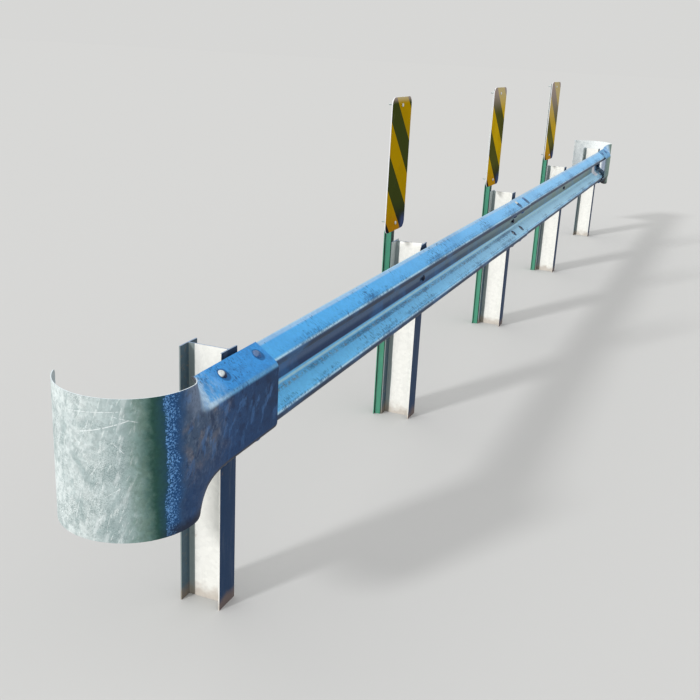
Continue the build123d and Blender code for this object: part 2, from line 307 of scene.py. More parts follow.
# %% Colour helpers


def linear(colour):
    """A colour given as in a paint program, turned into linear light; a socket stays as it is."""
    if isinstance(colour, bpy.types.NodeSocket):
        return colour
    return (*(((value / 255 + 0.055) / 1.055) ** 2.4 if value > 10 else value / 3295 for value in colour), 1)


def mixed(factor, first, second, blend="MIX"):
    """A colour mix's result; the factor or the first colour is a socket."""
    tree = (factor if isinstance(factor, bpy.types.NodeSocket) else first).id_data
    return add_node(tree, "ShaderNodeMix", {"data_type": "RGBA", "blend_type": blend}, _0=factor,
                    _6=linear(first), _7=linear(second)).outputs[2]


def ramp(value, stops):
    """A colour ramp through (position, colour) stops."""
    node = add_node(value.id_data, "ShaderNodeValToRGB", Fac=value)
    band = node.color_ramp
    while len(band.elements) < len(stops):
        band.elements.new(0.5)
    for element, (position, colour) in zip(band.elements, stops):
        element.position = position
        element.color = linear(colour)
    return node.outputs["Color"]


print("colour helpers made")

# %% [markdown]
# ## Zinc spangle
# Hot-dip zinc freezes in crystals, which show as a faint patchwork of lighter and darker grey.
# Cells of a Voronoi texture, broken up with fine noise, give each crystal its own shade.

# %% Zinc spangle group
spangle, given, result = new_group("zinc_spangle", "ShaderNodeTree", [
    ("Vector", VECTOR, None), ("Scale", FLOAT, 60.0), ("Strength", FLOAT, 0.3)],
    [("Shade", FLOAT), ("Height", FLOAT)])
bend = noise(given["Vector"], 35.0, 2.0, "Color")
loose = vector_maths("MULTIPLY_ADD", bend, (0.012, 0.012, 0.012), given["Vector"])
cells = add_node(spangle, "ShaderNodeTexVoronoi", Vector=loose, Scale=given["Scale"]).outputs["Color"]
fine = noise(given["Vector"], 260.0, 3.0)
tone = maths("ADD", maths("SUBTRACT", cells, 0.5), maths("MULTIPLY_ADD", fine, 0.5, -0.25))
join(maths("MULTIPLY_ADD", tone, given["Strength"], 1.0), result["Shade"])
join(fine, result["Height"])
print(spangle.name)

# %% [markdown]
# ## Marks of handling and weather
# Rails carry short dark ticks across them from stacking and rolling, boards carry thin pale scratches,
# and rain leaves soft blotches where it dries. Each is a mask that a material mixes in.
# A stretched noise makes ticks and scratches, a broad one makes blotches.

# %% Marks groups
ticks, given, result = new_group("dark_ticks", "ShaderNodeTree", [
    ("Vector", VECTOR, None), ("Stretch", VECTOR, (90.0, 22.0, 22.0)), ("Cover", FLOAT, 0.3)],
    [("Mask", FLOAT)])
grain = noise(vector_maths("MULTIPLY", given["Vector"], given["Stretch"]), 1.0, 2.0, Roughness=0.6)
level = maths("MULTIPLY_ADD", noise(given["Vector"], 4.5, 2.0), 0.60, grain)
limit = maths("SUBTRACT", 0.985, maths("MULTIPLY", given["Cover"], 0.5))
join(maths("MULTIPLY", maths("SUBTRACT", level, limit), 9.0), result["Mask"])

blotches, given, result = new_group("rain_blotches", "ShaderNodeTree", [
    ("Vector", VECTOR, None), ("Scale", FLOAT, 7.0), ("Low", FLOAT, 0.45), ("High", FLOAT, 0.62)],
    [("Mask", FLOAT)])
cloud = noise(given["Vector"], given["Scale"], 6.0, Roughness=0.62)
join(spread(cloud, given["Low"], given["High"]), result["Mask"])

scratches, given, result = new_group("pale_scratches", "ShaderNodeTree", [
    ("Vector", VECTOR, None), ("Turn", VECTOR, (0.0, 0.0, 0.0)), ("Scale", FLOAT, 3.0)],
    [("Mask", FLOAT)])
laid = made_by(scratches, "ShaderNodeVectorRotate", {"rotation_type": "EULER_XYZ"},
               Vector=given["Vector"], Rotation=given["Turn"])
thin = vector_maths("MULTIPLY", laid, (1.0, 1.0, 40.0))
lines = noise(thin, given["Scale"], 3.0, Roughness=0.7, Distortion=0.3)
kept = noise(given["Vector"], 9.0, 1.0)
join(masked(spread(lines, 0.66, 0.72), spread(kept, 0.5, 0.6)), result["Mask"])
print(ticks.name, blotches.name, scratches.name)

# %% [markdown]
# ## Painted light and shade of each side
# Much of the light and shade is painted into the colour: sky blue on what faces up, pale on what faces the
# low sun, and dark where shade falls.
# So the colour follows the way that the surface faces: Up runs from facing down (0) to facing up (1),
# Along marks the sides that face the near end and the low sun, and Field marks the field side.

# %% Facing group
facing, given, result = new_group("way_it_faces", "ShaderNodeTree", [], [
    ("Up", FLOAT), ("Along", FLOAT), ("Field", FLOAT), ("Position", VECTOR)])
faces_x, faces_y, faces_z = parts(add_node(facing, "ShaderNodeNewGeometry").outputs["Normal"])
join(maths("MULTIPLY_ADD", faces_z, 0.5, 0.5), result["Up"])
join(spread(maths("MULTIPLY", faces_x, -1.0), 0.35, 0.9), result["Along"])
join(spread(faces_y, 0.1, 0.5), result["Field"])
join(add_node(facing, "ShaderNodeTexCoord").outputs["Object"], result["Position"])
print(facing.name)

# %% [markdown]
# ## A finish in layers
# A weathered finish is built as a painter would: a base colour, and patch after patch over it.
# One class holds the material, the places and directions on its surface and the base so far.
# When all is painted, it links the colour, a roughness and a fine bump to the shader.

# %% Finish


class Finish:
    """A material in the making, whose base colour is painted over patch by patch."""

    def __init__(self, name):
        self.material = bpy.data.materials.new(name)
        self.material.use_nodes = True
        self.tree = self.material.node_tree
        side = use_group(self.tree, facing)
        self.up, self.sunny, self.field, self.place = side[:]
        self.x, self.y, self.z = parts(self.place)
        self.normal = add_node(self.tree, "ShaderNodeNewGeometry").outputs["Normal"]
        self.base = None

    def paint(self, colour, *factors):
        """Paints a colour over the base where all the factors hold."""
        self.base = mixed(masked(*factors), self.base, colour)

    def patches(self, scale, low, high, where=None):
        """A mask of soft patches; a lower low and high make them cover more."""
        where = where or self.place
        return use_group(self.tree, blotches, Vector=where, Scale=scale, Low=low, High=high)["Mask"]

    def streaks(self, scale, low, high, squeeze):
        """Patches drawn out downwards, as running rain leaves them."""
        return self.patches(scale, low, high, vector_maths("MULTIPLY", self.place, (1.0, 1.0, squeeze)))

    def ticked(self, stretch, cover):
        """A mask of short ticks, not clamped."""
        return use_group(self.tree, ticks, Vector=self.place, Stretch=stretch, Cover=cover)["Mask"]

    def spangled(self, scale, strength):
        """Breaks the base up with the zinc's spangle and returns the spangle's height."""
        grains = use_group(self.tree, spangle, Vector=self.place, Scale=scale, Strength=strength)
        self.base = mixed(1.0, self.base, combined(*[grains["Shade"]] * 3), "MULTIPLY")
        return grains["Height"]

    def done(self, height, gain, least, depth=0.0004, **plain):
        """Links up the shader: a height gives the bump and the roughness, plain holds its fixed numbers."""
        shader = self.tree.nodes["Principled BSDF"]
        join(self.base, shader.inputs["Base Color"])
        join(maths("MULTIPLY_ADD", height, gain, least), shader.inputs["Roughness"])
        bump = add_node(self.tree, "ShaderNodeBump", Distance=depth, Strength=0.6, Height=height)
        join(bump.outputs["Normal"], shader.inputs["Normal"])
        for name, value in plain.items():
            shader.inputs[name.replace("_", " ")].default_value = value
        print(self.material.name)
        return self.material


print("finish class made")

# %% [markdown]
# ## Finish of the rail panels
# The flanks that face up are painted sky blue as the sky's reflection, with a painted highlight where a crest
# turns over, and below it the steel is painted in shade. The lower flank is painted the paler one, and both
# are painted paler with the distance.
# Here above is a height over the rail's middle, and out a distance from the posts towards the road.

# %% Rail flanks
rail = Finish("weathered_rail_zinc")
above = maths("SUBTRACT", rail.z, RAIL_CENTRE)
out = maths("SUBTRACT", ROAD_FACE, rail.y)
along = maths("ABSOLUTE", rail.x)
far_off = spread(rail.x, -3.4, 1.0)
# What faces up is painted sky blue as the sky's reflection, with a painted highlight where a crest turns over
# and painted shade below it.
faces_sky = spread(rail.up, 0.76, 0.86)
rail.base = ramp(rail.up, [
    (0.00, (54, 64, 84)), (0.34, (46, 58, 80)), (0.44, (42, 58, 84)), (0.52, (48, 66, 94)),
    (0.59, (60, 84, 118)), (0.635, (140, 176, 206)), (0.69, (196, 230, 248)), (0.75, (140, 204, 242)),
    (0.83, (80, 172, 237)), (1.00, (92, 182, 242))])
# Painted reflection, paler towards the far end and on the lower flank.
rail.paint((148, 210, 255), far_off, spread(rail.up, 0.72, 0.86), 0.85)
lower_flank = masked(spread(above, -0.02, -0.03), faces_sky)
rail.paint(mixed(far_off, (114, 202, 255), (178, 228, 255)), lower_flank, 0.95)
print("flanks painted")

# %% [markdown]
# The valley faces the road and is painted in shade: navy near by, grey-green far off and lighter at its upper
# bend.
# A painted highlight line lies where the flank leaves it. The upper lip and its cut edge get painted
# highlights, the cut edge from the field side, which is plain grey and painted darker as shade in the crests'
# hollows.

# %% Rail valley, lips and field side
in_valley = masked(spread(out, 0.034, 0.022), spread(rail.up, 0.80, 0.72))
# Painted shade on the valley, which faces the road: navy near by, grey-green far off, lighter at its upper
# bend.
valley_shade = mixed(spread(rail.x, -2.2, 1.2), (38, 60, 98), (110, 136, 134))
top_bend = mixed(far_off, (86, 104, 134), (128, 152, 152))
rail.paint(mixed(masked(spread(above, -0.012, 0.006), 0.8), valley_shade, top_bend), in_valley)
# A painted highlight line where the flank leaves the valley, and another on the upper lip.
rail.paint((198, 242, 255), between(out, 0.008, 0.013, 0.015, 0.020), faces_sky, 0.9)
rail.paint((176, 208, 236), spread(above, 0.147, 0.152), spread(rail.up, 0.7, 0.85), 0.7)
# The field side is plain grey, painted darker as shade in the crests' hollows, and its cut edge gets a
# painted highlight.
rail.paint(mixed(spread(out, 0.012, 0.05), (128, 140, 150), (92, 108, 128)), rail.field)
cut_edge = spread(above, 0.1555, 0.1565)
rail.paint((226, 238, 246), rail.field, cut_edge)
print("valley, lips and field side painted")

# %% [markdown]
# The valley's ends lie under the end sections and are painted light blue there, without the valley's painted
# shade. Just before the far one, the valley and the flank below it get a near-white painted highlight. Noise
# makes the borders ragged.
# The zinc's spangle comes next, so that the marks that follow lie on top of it.

# %% Rail ends and spangle
ragged = maths("MULTIPLY_ADD", noise(rail.place, 16.0, 4.0), 0.06, along)
far_half = spread(rail.x, -0.5, 0.5)
road_side = maths("SUBTRACT", 1.0, rail.field)
# Painted light blue on the valley's ends under the end sections, and a near-white painted highlight before
# the far one.
rail.paint((128, 182, 226), spread(ragged, 3.640, 3.665), in_valley, road_side, 0.9)
rail.paint((246, 246, 252), between(ragged, 3.44, 3.53, 3.635, 3.655), far_half, spread(above, 0.05, 0.04),
           spread(out, 0.055, 0.040), road_side, 0.9)
rail_height = rail.spangled(85.0, 0.14)
rail.paint((66, 140, 208), rail.patches(5.0, 0.48, 0.7), 0.25, maths("SUBTRACT", road_side, lower_flank))
print("rail ends and spangle painted")

# %% [markdown]
# Dark ticks lie sparsely over the flanks, thickly along the fringe of each crest,
# and in a line on the shelf under the valley, where dust gathers as well.
# Painted shade stands in dark ovals about the lap's empty slots, and painted shadows lie beside its top
# bolts.

# %% Rail marks
fringe = masked(between(rail.up, 0.58, 0.68, 0.80, 0.90), spread(out, 0.05, 0.06))
beside = masked(spread(out, 0.056, 0.068), spread(rail.up, 0.85, 0.90))
crowded = maths("MAXIMUM", fringe, masked(beside, 0.6))
near_half = maths("SUBTRACT", 1.0, masked(far_half, 0.8))
shelf = masked(between(out, 0.018, 0.025, 0.031, 0.040), lower_flank, near_half)
marks = masked(rail.ticked((110.0, 45.0, 45.0), 0.085), spread(rail.x, 1.6, -0.2, 0.35, 1.0))
marks = maths("MAXIMUM", marks, masked(rail.ticked((300.0, 60.0, 60.0), 0.36), crowded))
marks = maths("MAXIMUM", marks, masked(rail.ticked((240.0, 160.0, 160.0), 0.48), shelf, 0.65))
inked = mixed(spread(rail.up, 0.60, 0.72), (48, 54, 66), (28, 78, 128))
inked = mixed(road_side, (84, 90, 98), inked)
rail.paint(inked, clamped(marks), 0.75, spread(out, 0.016, 0.022))
rail.paint((136, 136, 140), rail.patches(60.0, 0.50, 0.60), shelf, 0.6)
print("ticks and dust painted")

# %% Rail painted shade and shadows
to_slot = maths("SUBTRACT", along, COLUMN)
slot_rise = maths("ADD", above, CREST_RISE - ROW)
slot_shade = spread(oval(to_slot, slot_rise, 0.028, 0.0125), 1.15, 0.95)
to_bolt = maths("SUBTRACT", maths("ABSOLUTE", maths("SUBTRACT", rail.x, 0.016)), COLUMN)
bolt_rise = maths("SUBTRACT", above, CREST_RISE + ROW - 0.010)
bolt_shadow = masked(spread(oval(to_bolt, bolt_rise, 0.030, 0.0165), 1.15, 0.9), 0.85)
broken = maths("MULTIPLY_ADD", rail.patches(70.0, 0.40, 0.60), 0.3, 0.7)
# Painted shade in dark ovals about the empty slots and painted shadows beside the top bolts, broken up by
# patches.
rail.paint((18, 38, 84), maths("MAXIMUM", slot_shade, bolt_shadow), broken)
rail_zinc = rail.done(rail_height, 0.2, 0.36, Metallic=0.25, Specular_IOR_Level=0.08)

# %% [markdown]
# ## Scratches on the end sections
# Something long was dragged over the near end and left thin pale arcs. A scratch is a bent line on
# the unrolled sheet: its place, direction, length and bend are inputs, and noise breaks it up.
# The end sections carry a map of their unrolled sheet: metres along it from the plate's start,
# and metres up from the middle of its face. So marks follow the sheet round its curl.

# %% Long scratch group
scratch, given, result = new_group("long_scratch", "ShaderNodeTree", [
    ("Vector", VECTOR, None), ("Middle", VECTOR, (0.0, 0.0, 0.0)), ("Turn", FLOAT, 0.0),
    ("Length", FLOAT, 0.1), ("Bend", FLOAT, 0.01), ("Width", FLOAT, 0.001)], [("Mask", FLOAT)])
own = turned(vector_maths("SUBTRACT", given["Vector"], given["Middle"]), given["Turn"])
own_x, own_y, _ = parts(own)
share = maths("DIVIDE", own_x, given["Length"])
sag = masked(share, share, given["Bend"])
away = maths("DIVIDE", maths("ABSOLUTE", maths("SUBTRACT", own_y, sag)), given["Width"])
ends = spread(maths("ABSOLUTE", share), 0.5, 0.38)
broken = spread(noise(given["Vector"], 120.0, 3.0), 0.36, 0.52)
join(masked(spread(away, 1.0, 0.3), ends, broken), result["Mask"])
print(scratch.name)

# %% [markdown]
# ## Finish of the end sections
# The near end is the most weathered piece. Its flat plate faces the road and is painted dark slate, partly as
# shade, bluer and darker below, with brownish stains in the middle and a painted highlight by the upper fold.
# Places are measured on the unrolled sheet, and a loose distance bends every border a little by noise.

# %% End finish: the plate
SHEET_MAP = "unrolled"


class EndFinish(Finish):
    """The finish of an end section: along and girth are places on its sheet, worn turns the stains up."""

    def __init__(self, name, worn):
        super().__init__(name)
        self.worn = worn
        self.sheet = made_by(self.tree, "ShaderNodeUVMap", {"uv_map": SHEET_MAP})
        self.along, self.girth, _ = parts(self.sheet)
        self.wander = noise(self.place, 14.0, 5.0, Roughness=0.65)
        self.loose = maths("MULTIPLY_ADD", maths("SUBTRACT", self.wander, 0.5), 0.055, self.along)
        self.dragged = vector_maths("MULTIPLY", turned(self.sheet, -0.4), (1.0, 0.50, 1.0))
        self.brushed = vector_maths("MULTIPLY", turned(self.sheet, -0.30), (1.0, 0.22, 1.0))
        self.cloudy = self.patches(15.0, 0.44, 0.66)


def paint_plate(end):
    """Stains on the flat plate, and a painted highlight by its upper fold."""
    flat = spread(end.loose, 0.060, 0.025)
    opened = spread(end.along, -0.26, -0.10)
    brown = masked(end.patches(17.0, 0.48, 0.62), flat, spread(end.along, -0.28, -0.12),
                   spread(end.girth, -0.13, -0.03), end.worn)
    # The mask for a painted highlight by the upper fold.
    fold_highlight = masked(between(end.loose, -0.13, -0.06, 0.0, 0.050), spread(end.girth, 0.08, 0.16))
    end.paint((92, 98, 114), brown, 0.7)
    end.paint((118, 108, 106), end.patches(22.0, 0.50, 0.64), brown, 0.42)
    end.paint((32, 48, 78), end.patches(27.0, 0.50, 0.60), flat, 0.62, end.worn)
    end.paint((70, 112, 164), end.patches(21.0, 0.52, 0.62, end.dragged), flat, 0.55, end.worn)
    end.paint((120, 136, 160), end.patches(44.0, 0.50, 0.64), flat, opened, 0.35, end.worn)
    end.paint((32, 62, 104), spread(end.girth, 0.03, -0.12), flat, 0.75, end.worn)
    end.paint((122, 138, 162), fold_highlight, 0.6, end.worn)


print("plate painter made")

# %% [markdown]
# Round the curl the sheet goes through a frosted blue band and a dark green one to a pale, mottled grey,
# which is partly painted light where the curl turns towards the low sun.
# There coarse clouds, brushed flecks and fine grit lie over each other, and the long scratches over them.

# %% End finish: the curl
LONG_SCRATCHES = [
    ((0.270, 0.124), 0.30, 0.160, 0.010, 0.0022), ((0.300, 0.165), 0.10, 0.180, -0.006, 0.0012),
    ((0.330, 0.090), 1.15, 0.120, 0.008, 0.0012), ((0.215, 0.150), -0.25, 0.080, 0.004, 0.0012),
    ((0.350, -0.110), 1.30, 0.140, 0.006, 0.0014), ((0.290, 0.010), 0.95, 0.070, 0.004, 0.0010),
    ((0.250, -0.060), 0.60, 0.060, -0.004, 0.0010), ((0.230, 0.070), -0.80, 0.045, 0.003, 0.0012)]


def paint_curl(end):
    """Frost, a dark green band and pale mottling round the curl, and the long scratches."""
    specks = maths("MULTIPLY_ADD", between(end.loose, 0.030, 0.090, 0.102, 0.112), -0.25, 0.70)
    end.paint((112, 164, 220), end.patches(190.0, specks, maths("ADD", specks, 0.15)), 0.9, end.worn)
    turning = between(end.loose, 0.135, 0.16, 0.18, 0.23)
    end.paint((104, 128, 116), end.patches(30.0, 0.46, 0.60), turning, 0.5)
    pale = spread(end.loose, 0.165, 0.23)
    grit = masked(end.patches(330.0, 0.46, 0.60), end.patches(8.0, 0.42, 0.60))
    for colour, patch, share in (
            ((150, 168, 168), end.cloudy, 0.7), ((150, 166, 166), end.patches(56.0, 0.47, 0.58), 0.40),
            ((228, 236, 234), end.patches(110.0, 0.56, 0.64, end.brushed), 0.6), ((124, 142, 142), grit, 0.8),
            ((226, 233, 233), end.patches(48.0, 0.52, 0.66, end.brushed), 0.45)):
        end.paint(colour, pale, patch, share)
    for (x, y), turn, length, bow, width in LONG_SCRATCHES:
        mark = use_group(end.tree, scratch, Vector=end.sheet, Middle=(x, y, 0), Turn=turn, Length=length,
                         Bend=bow, Width=width)["Mask"]
        end.paint((236, 242, 242), mark, 0.75, end.worn)


print("curl painter made")

# %% [markdown]
# The inner side of the curl faces the curl's centre, so the surface's direction tells it from the outer.
# The upper flank is painted sky blue like the rail's, as the sky's reflection, with a painted highlight at
# its fold and pale wisps where it opens, and a ring of grime and painted contact shadow round each bolt. The
# sheet's upper edge is bare and has a painted highlight, all that faces down is painted in shade, and its
# lower rim is dark.

# %% End finish: inside, flank and edges


def paint_inside(end, centre, colour):
    """The inner side of the curl, with painted shade beside the plate, turned down by the worn share."""
    faces_x, faces_y, _ = parts(end.normal)
    outward = maths("ADD", maths("MULTIPLY", maths("SUBTRACT", end.x, centre[0]), faces_x),
                    maths("MULTIPLY", maths("SUBTRACT", end.y, centre[1]), faces_y))
    hidden = masked(spread(outward, 0.02, -0.02), spread(end.along, 0.0, 0.02))
    inner = mixed(masked(end.cloudy, 0.5, spread(end.along, 0.30, 0.45)), colour, (190, 202, 204))
    # Painted shade beside the plate, turned down by the worn share.
    shaded = masked(spread(end.girth, 0.12, 0.07), spread(end.along, 0.235, 0.195), 1.0 - end.worn)
    end.paint(mixed(shaded, inner, (48, 84, 130)), hidden)


def paint_flank(end, colour):
    """The upper flank, painted sky blue with a highlight at its fold, and grime and a painted contact shadow
    round its bolts.
    """
    opened = spread(end.along, -0.26, -0.10)
    # Painted sky reflection on the flank, with a painted highlight at its fold.
    fold = mixed(opened, (100, 160, 206), (186, 214, 236))
    flank = mixed(spread(end.up, 0.76, 0.88), fold, mixed(opened, colour, (92, 168, 228)))
    wisps = masked(end.patches(30.0, 0.44, 0.58, end.dragged), spread(end.along, -0.25, -0.12), 0.8)
    flank = mixed(wisps, flank, (174, 206, 232))
    flank = mixed(masked(end.patches(26.0, 0.46, 0.62), 0.45), flank, (62, 128, 190))
    on_flank = masked(spread(end.up, 0.54, 0.72), spread(end.girth, 0.085, 0.105))
    end.paint(flank, on_flank)
    # Grime and a painted contact shadow round each bolt.
    from_splice = maths("SUBTRACT", maths("ABSOLUTE", maths("SUBTRACT", end.x, 0.004)), END_SPLICE)
    to_bolt = maths("SUBTRACT", maths("ABSOLUTE", from_splice), COLUMN)
    bolt_rise = maths("SUBTRACT", end.z, RAIL_CENTRE + CREST_RISE + ROW)
    end.paint((28, 60, 108), spread(oval(to_bolt, bolt_rise, 0.028, 0.016), 1.0, 0.75), on_flank, 0.6)


def paint_edges(end):
    """The bare upper edge with a painted highlight, the back of the plate, painted shade on all that faces
    down, and the dark rim below.
    """
    # A painted highlight on the bare upper edge.
    end.paint((224, 234, 238), spread(end.up, 0.955, 0.99))
    end.paint((92, 102, 118), end.field, spread(end.along, 0.02, 0.0))
    # Painted shade on all that faces down.
    end.paint((50, 52, 60), spread(end.up, 0.44, 0.28))
    ragged = maths("MULTIPLY_ADD", end.wander, 0.05, end.girth)
    end.paint((40, 40, 48), spread(ragged, -0.140, -0.178), spread(end.along, 0.16, 0.06), 0.75)


print("inside, flank and edge painters made")

# %% [markdown]
# Each end section gets its own colours along the sheet. The near one is fully worn. The far one is
# clean and pale, so its stains are turned down.

# %% End finishes
PLATE_START = POST_PLACES[-1] + 0.383
CURL_RADIUS = 0.207
NEAR_OUT = 0.010
FAR_OUT = -0.030
END_FACE = 0.100


def end_finish(name, way, plate_out, along_stops, inner_colour, flank_colour, worn):
    """The finish of one end section; way is -1 for the near end and 1 for the far one."""
    end = EndFinish(name, worn)
    stops = [(0.5 + distance, colour) for distance, colour in along_stops]
    end.base = ramp(maths("ADD", end.loose, 0.5), stops)
    paint_plate(end)
    paint_curl(end)
    curl_centre = (way * PLATE_START, ROAD_FACE - END_FACE - plate_out + CURL_RADIUS)
    paint_inside(end, curl_centre, inner_colour)
    paint_flank(end, flank_colour)
    paint_edges(end)
    height = end.spangled(120.0, 0.22)
    few = clamped(end.ticked((160.0, 90.0, 90.0), 0.05))
    end.paint((30, 48, 82), few, spread(end.loose, 0.12, 0.02), 0.6)
    return end.done(height, 0.3, 0.38, Metallic=0.20, Specular_IOR_Level=0.08)


# Partly painted light and shade: the colours along the sheet are darker on the plate, which faces the road,
# and paler round the curl, which turns towards the low sun; the far one's near-white inner side is painted
# sunlight.
near_zinc = end_finish("weathered_near_end", -1, NEAR_OUT, [
    (-0.50, (34, 60, 96)), (-0.20, (44, 74, 116)), (-0.12, (62, 80, 108)), (0.03, (68, 88, 114)),
    (0.055, (52, 82, 120)), (0.075, (36, 76, 124)), (0.096, (34, 74, 120)), (0.110, (42, 76, 88)),
    (0.136, (46, 80, 72)), (0.155, (84, 114, 108)), (0.185, (132, 156, 152)), (0.225, (172, 188, 188)),
    (0.320, (204, 213, 212)), (0.450, (226, 235, 234))], (176, 188, 192), (66, 150, 220), 1.0)
far_zinc = end_finish("weathered_far_end", 1, FAR_OUT, [
    (-0.50, (100, 128, 132)), (-0.25, (122, 150, 132)), (0.02, (136, 160, 138)), (0.20, (140, 162, 146)),
    (0.45, (190, 200, 196))], (240, 244, 243), (118, 176, 218), 0.3)

# %% [markdown]
# ## Finish of the posts
# The webs and the ends of the flanges face the low sun and are painted nearly white as sunlight; the tops are
# painted bluish as the sky's reflection.
# The road side of a post is painted dark slate as shade. The inner face of its field flange is a lighter,
# spotted grey, and from the second post on it is paler at the top. The web carries a painted shadow of the
# field flange beside it.
# Rain has left streaks and some rust, and soil has splashed up the foot.

# %% Post finish
post = Finish("weathered_post_zinc")
faces_y = parts(post.normal)[1]
deep = spread(post.y, 0.0, 0.04)
# The road side is painted dark slate as shade, lighter on the field flange's inner face, with rust spots and
# a paler top over it.
shaded_side_and_stains = mixed(deep, (36, 60, 92), (76, 96, 108))
shaded_side_and_stains = mixed(masked(deep, post.patches(55.0, 0.54, 0.66), 0.45), shaded_side_and_stains, (120, 108, 92))
rained = masked(deep, spread(post.z, 0.68, 0.82), spread(post.x, -3.0, -2.0))
shaded_side_and_stains = mixed(rained, shaded_side_and_stains, (186, 194, 192))
# Faces towards the low sun are painted nearly white as sunlight.
post.base = mixed(post.sunny, (176, 184, 184), (246, 245, 239))
post.paint(shaded_side_and_stains, spread(faces_y, -0.35, -0.8))
# Tops that face up are painted bluish as the sky's reflection.
post.paint((140, 160, 185), spread(post.up, 0.8, 0.95))
post_height = post.spangled(70.0, 0.10)
streaks = post.streaks(38.0, 0.5, 0.75, 0.12)
post.paint((150, 156, 160), streaks, 0.12)
post.paint((150, 122, 84), post.patches(19.0, 0.66, 0.74), 0.25)
# A painted shadow of the field flange on the web beside it.
flange_shadow_edge = maths("MULTIPLY_ADD", streaks, 0.002, post.y)
post.paint((104, 122, 124), spread(flange_shadow_edge, 0.0465, 0.0495), post.sunny, 0.85)
splash = maths("MULTIPLY_ADD", noise(post.place, 24.0, 4.0), -0.08, post.z)
post.paint((150, 124, 96), spread(splash, 0.02, -0.03), 0.45)
post_zinc = post.done(post_height, 0.25, 0.42, Metallic=0.15, Specular_IOR_Level=0.08)

# %% [markdown]
# ## Finish of the bolts
# The button heads are barrel-plated, and their light and shade are painted: brighter than the sheet on the
# side towards the sky, dark on the side away from it, and the post bolts dark all over as painted shade. Some
# of them are painted blue.

# %% Bolt finish
PAINTED_LIGHT_SIDE = (-0.5, -0.1, 0.86)


def bolt_finish(name, dark, bright, blued=()):
    """A plated bolt with painted light and shade; the ranges of X given last are where the bolts are painted
    blue.
    """
    bolt = Finish(name)
    # Painted light and shade: bright on the side towards the sky, dark away from it.
    lit = vector_maths("DOT_PRODUCT", bolt.normal, PAINTED_LIGHT_SIDE)
    bolt.base = mixed(spread(lit, 0.55, 0.82), dark, bright)
    for low, high in blued:
        bolt.paint((54, 104, 164), between(bolt.x, low, low + 0.01, high - 0.01, high), 0.85)
    height = bolt.spangled(320.0, 0.35)
    bolt.paint((116, 92, 70), bolt.patches(120.0, 0.58, 0.70), 0.4)
    return bolt.done(height, 0.25, 0.30, 0.0002, Metallic=0.55)


bright_bolt = bolt_finish("plated_bolt", (30, 44, 78), (222, 230, 232),
                          [(-3.80, -3.64), (0.04, 0.20), (3.64, 4.00)])
# The post bolts get a dark copy, painted in shade.
shaded_bolt = bolt_finish("shaded_bolt", (20, 28, 52), (60, 76, 104))
board_bolt = bolt_finish("board_bolt_zinc", (206, 210, 212), (240, 242, 242))

# %% [markdown]
# ## Finish of the channel posts
# The channel posts have green stove enamel, painted dark as shade on the side towards the guardrail post,
# chipped and streaked by rain. Behind the boards one edge has a painted highlight in a pale line.

# %% Enamel
green = Finish("green_enamel")
faces_x, faces_y, _ = parts(green.normal)
# Painted shade on the side towards the guardrail post.
green.base = mixed(spread(faces_y, -0.2, -0.75), (70, 150, 120), (16, 26, 24))
# A painted highlight on the faces towards the near end, behind the boards.
green.paint((228, 232, 228), spread(green.z, 0.95, 0.98), spread(faces_x, -0.4, -0.7))
green.paint((110, 170, 146), green.streaks(45.0, 0.45, 0.7, 0.2), 0.25)
green.paint((120, 100, 80), green.patches(90.0, 0.66, 0.70), 0.6)
enamel = green.done(noise(green.place, 500.0, 2.0), 0.2, 0.35, 0.0002)

# %% [markdown]
# ## Finish of the boards
# A board is reflective sheeting on flat metal: two colours in 45 degree stripes on the road side,
# and bare metal, streaked by rain, on the edges and the back. The stripes are worked out from
# the board's own corner, so all three boards share one group and each gives it its place and turn.
# Dirt darkens a board's foot, and the sun has bleached its top, most of all on the far one.

# %% Stripes group
BOARD_WIDTH = 0.266
BOARD_HEIGHT = 0.630
BOARD_SHEET = 0.005
BOARD_CORNER = 0.038
BOARD_FOOT = 0.955
BOARD_TOP = BOARD_FOOT + BOARD_HEIGHT
STRIPE_PERIOD = 0.312
STRIPE_START = 0.107
STRIPE_BLUR = 0.0035
YELLOW_SHARE = 0.487

stripes, given, result = new_group("board_stripes", "ShaderNodeTree", [
    ("Vector", VECTOR, None), ("Middle", VECTOR, (0.0, 0.0, 0.0)), ("Turn", FLOAT, 0.0)],
    [("Yellow", FLOAT), ("Local", VECTOR)])
own = turned(vector_maths("SUBTRACT", given["Vector"], given["Middle"]), given["Turn"])
own_x, _, own_z = parts(own)
down = maths("SUBTRACT", BOARD_TOP, own_z)
slant = maths("SUBTRACT", down, maths("ADD", own_x, BOARD_WIDTH / 2))
turns = maths("DIVIDE", maths("SUBTRACT", slant, STRIPE_START), STRIPE_PERIOD)
saw = maths("PINGPONG", maths("SUBTRACT", turns, YELLOW_SHARE / 2), 0.5)
join(spread(saw, YELLOW_SHARE / 2 + STRIPE_BLUR, YELLOW_SHARE / 2 - STRIPE_BLUR), result["Yellow"])
join(own, result["Local"])
print(stripes.name)

# %% Board finish


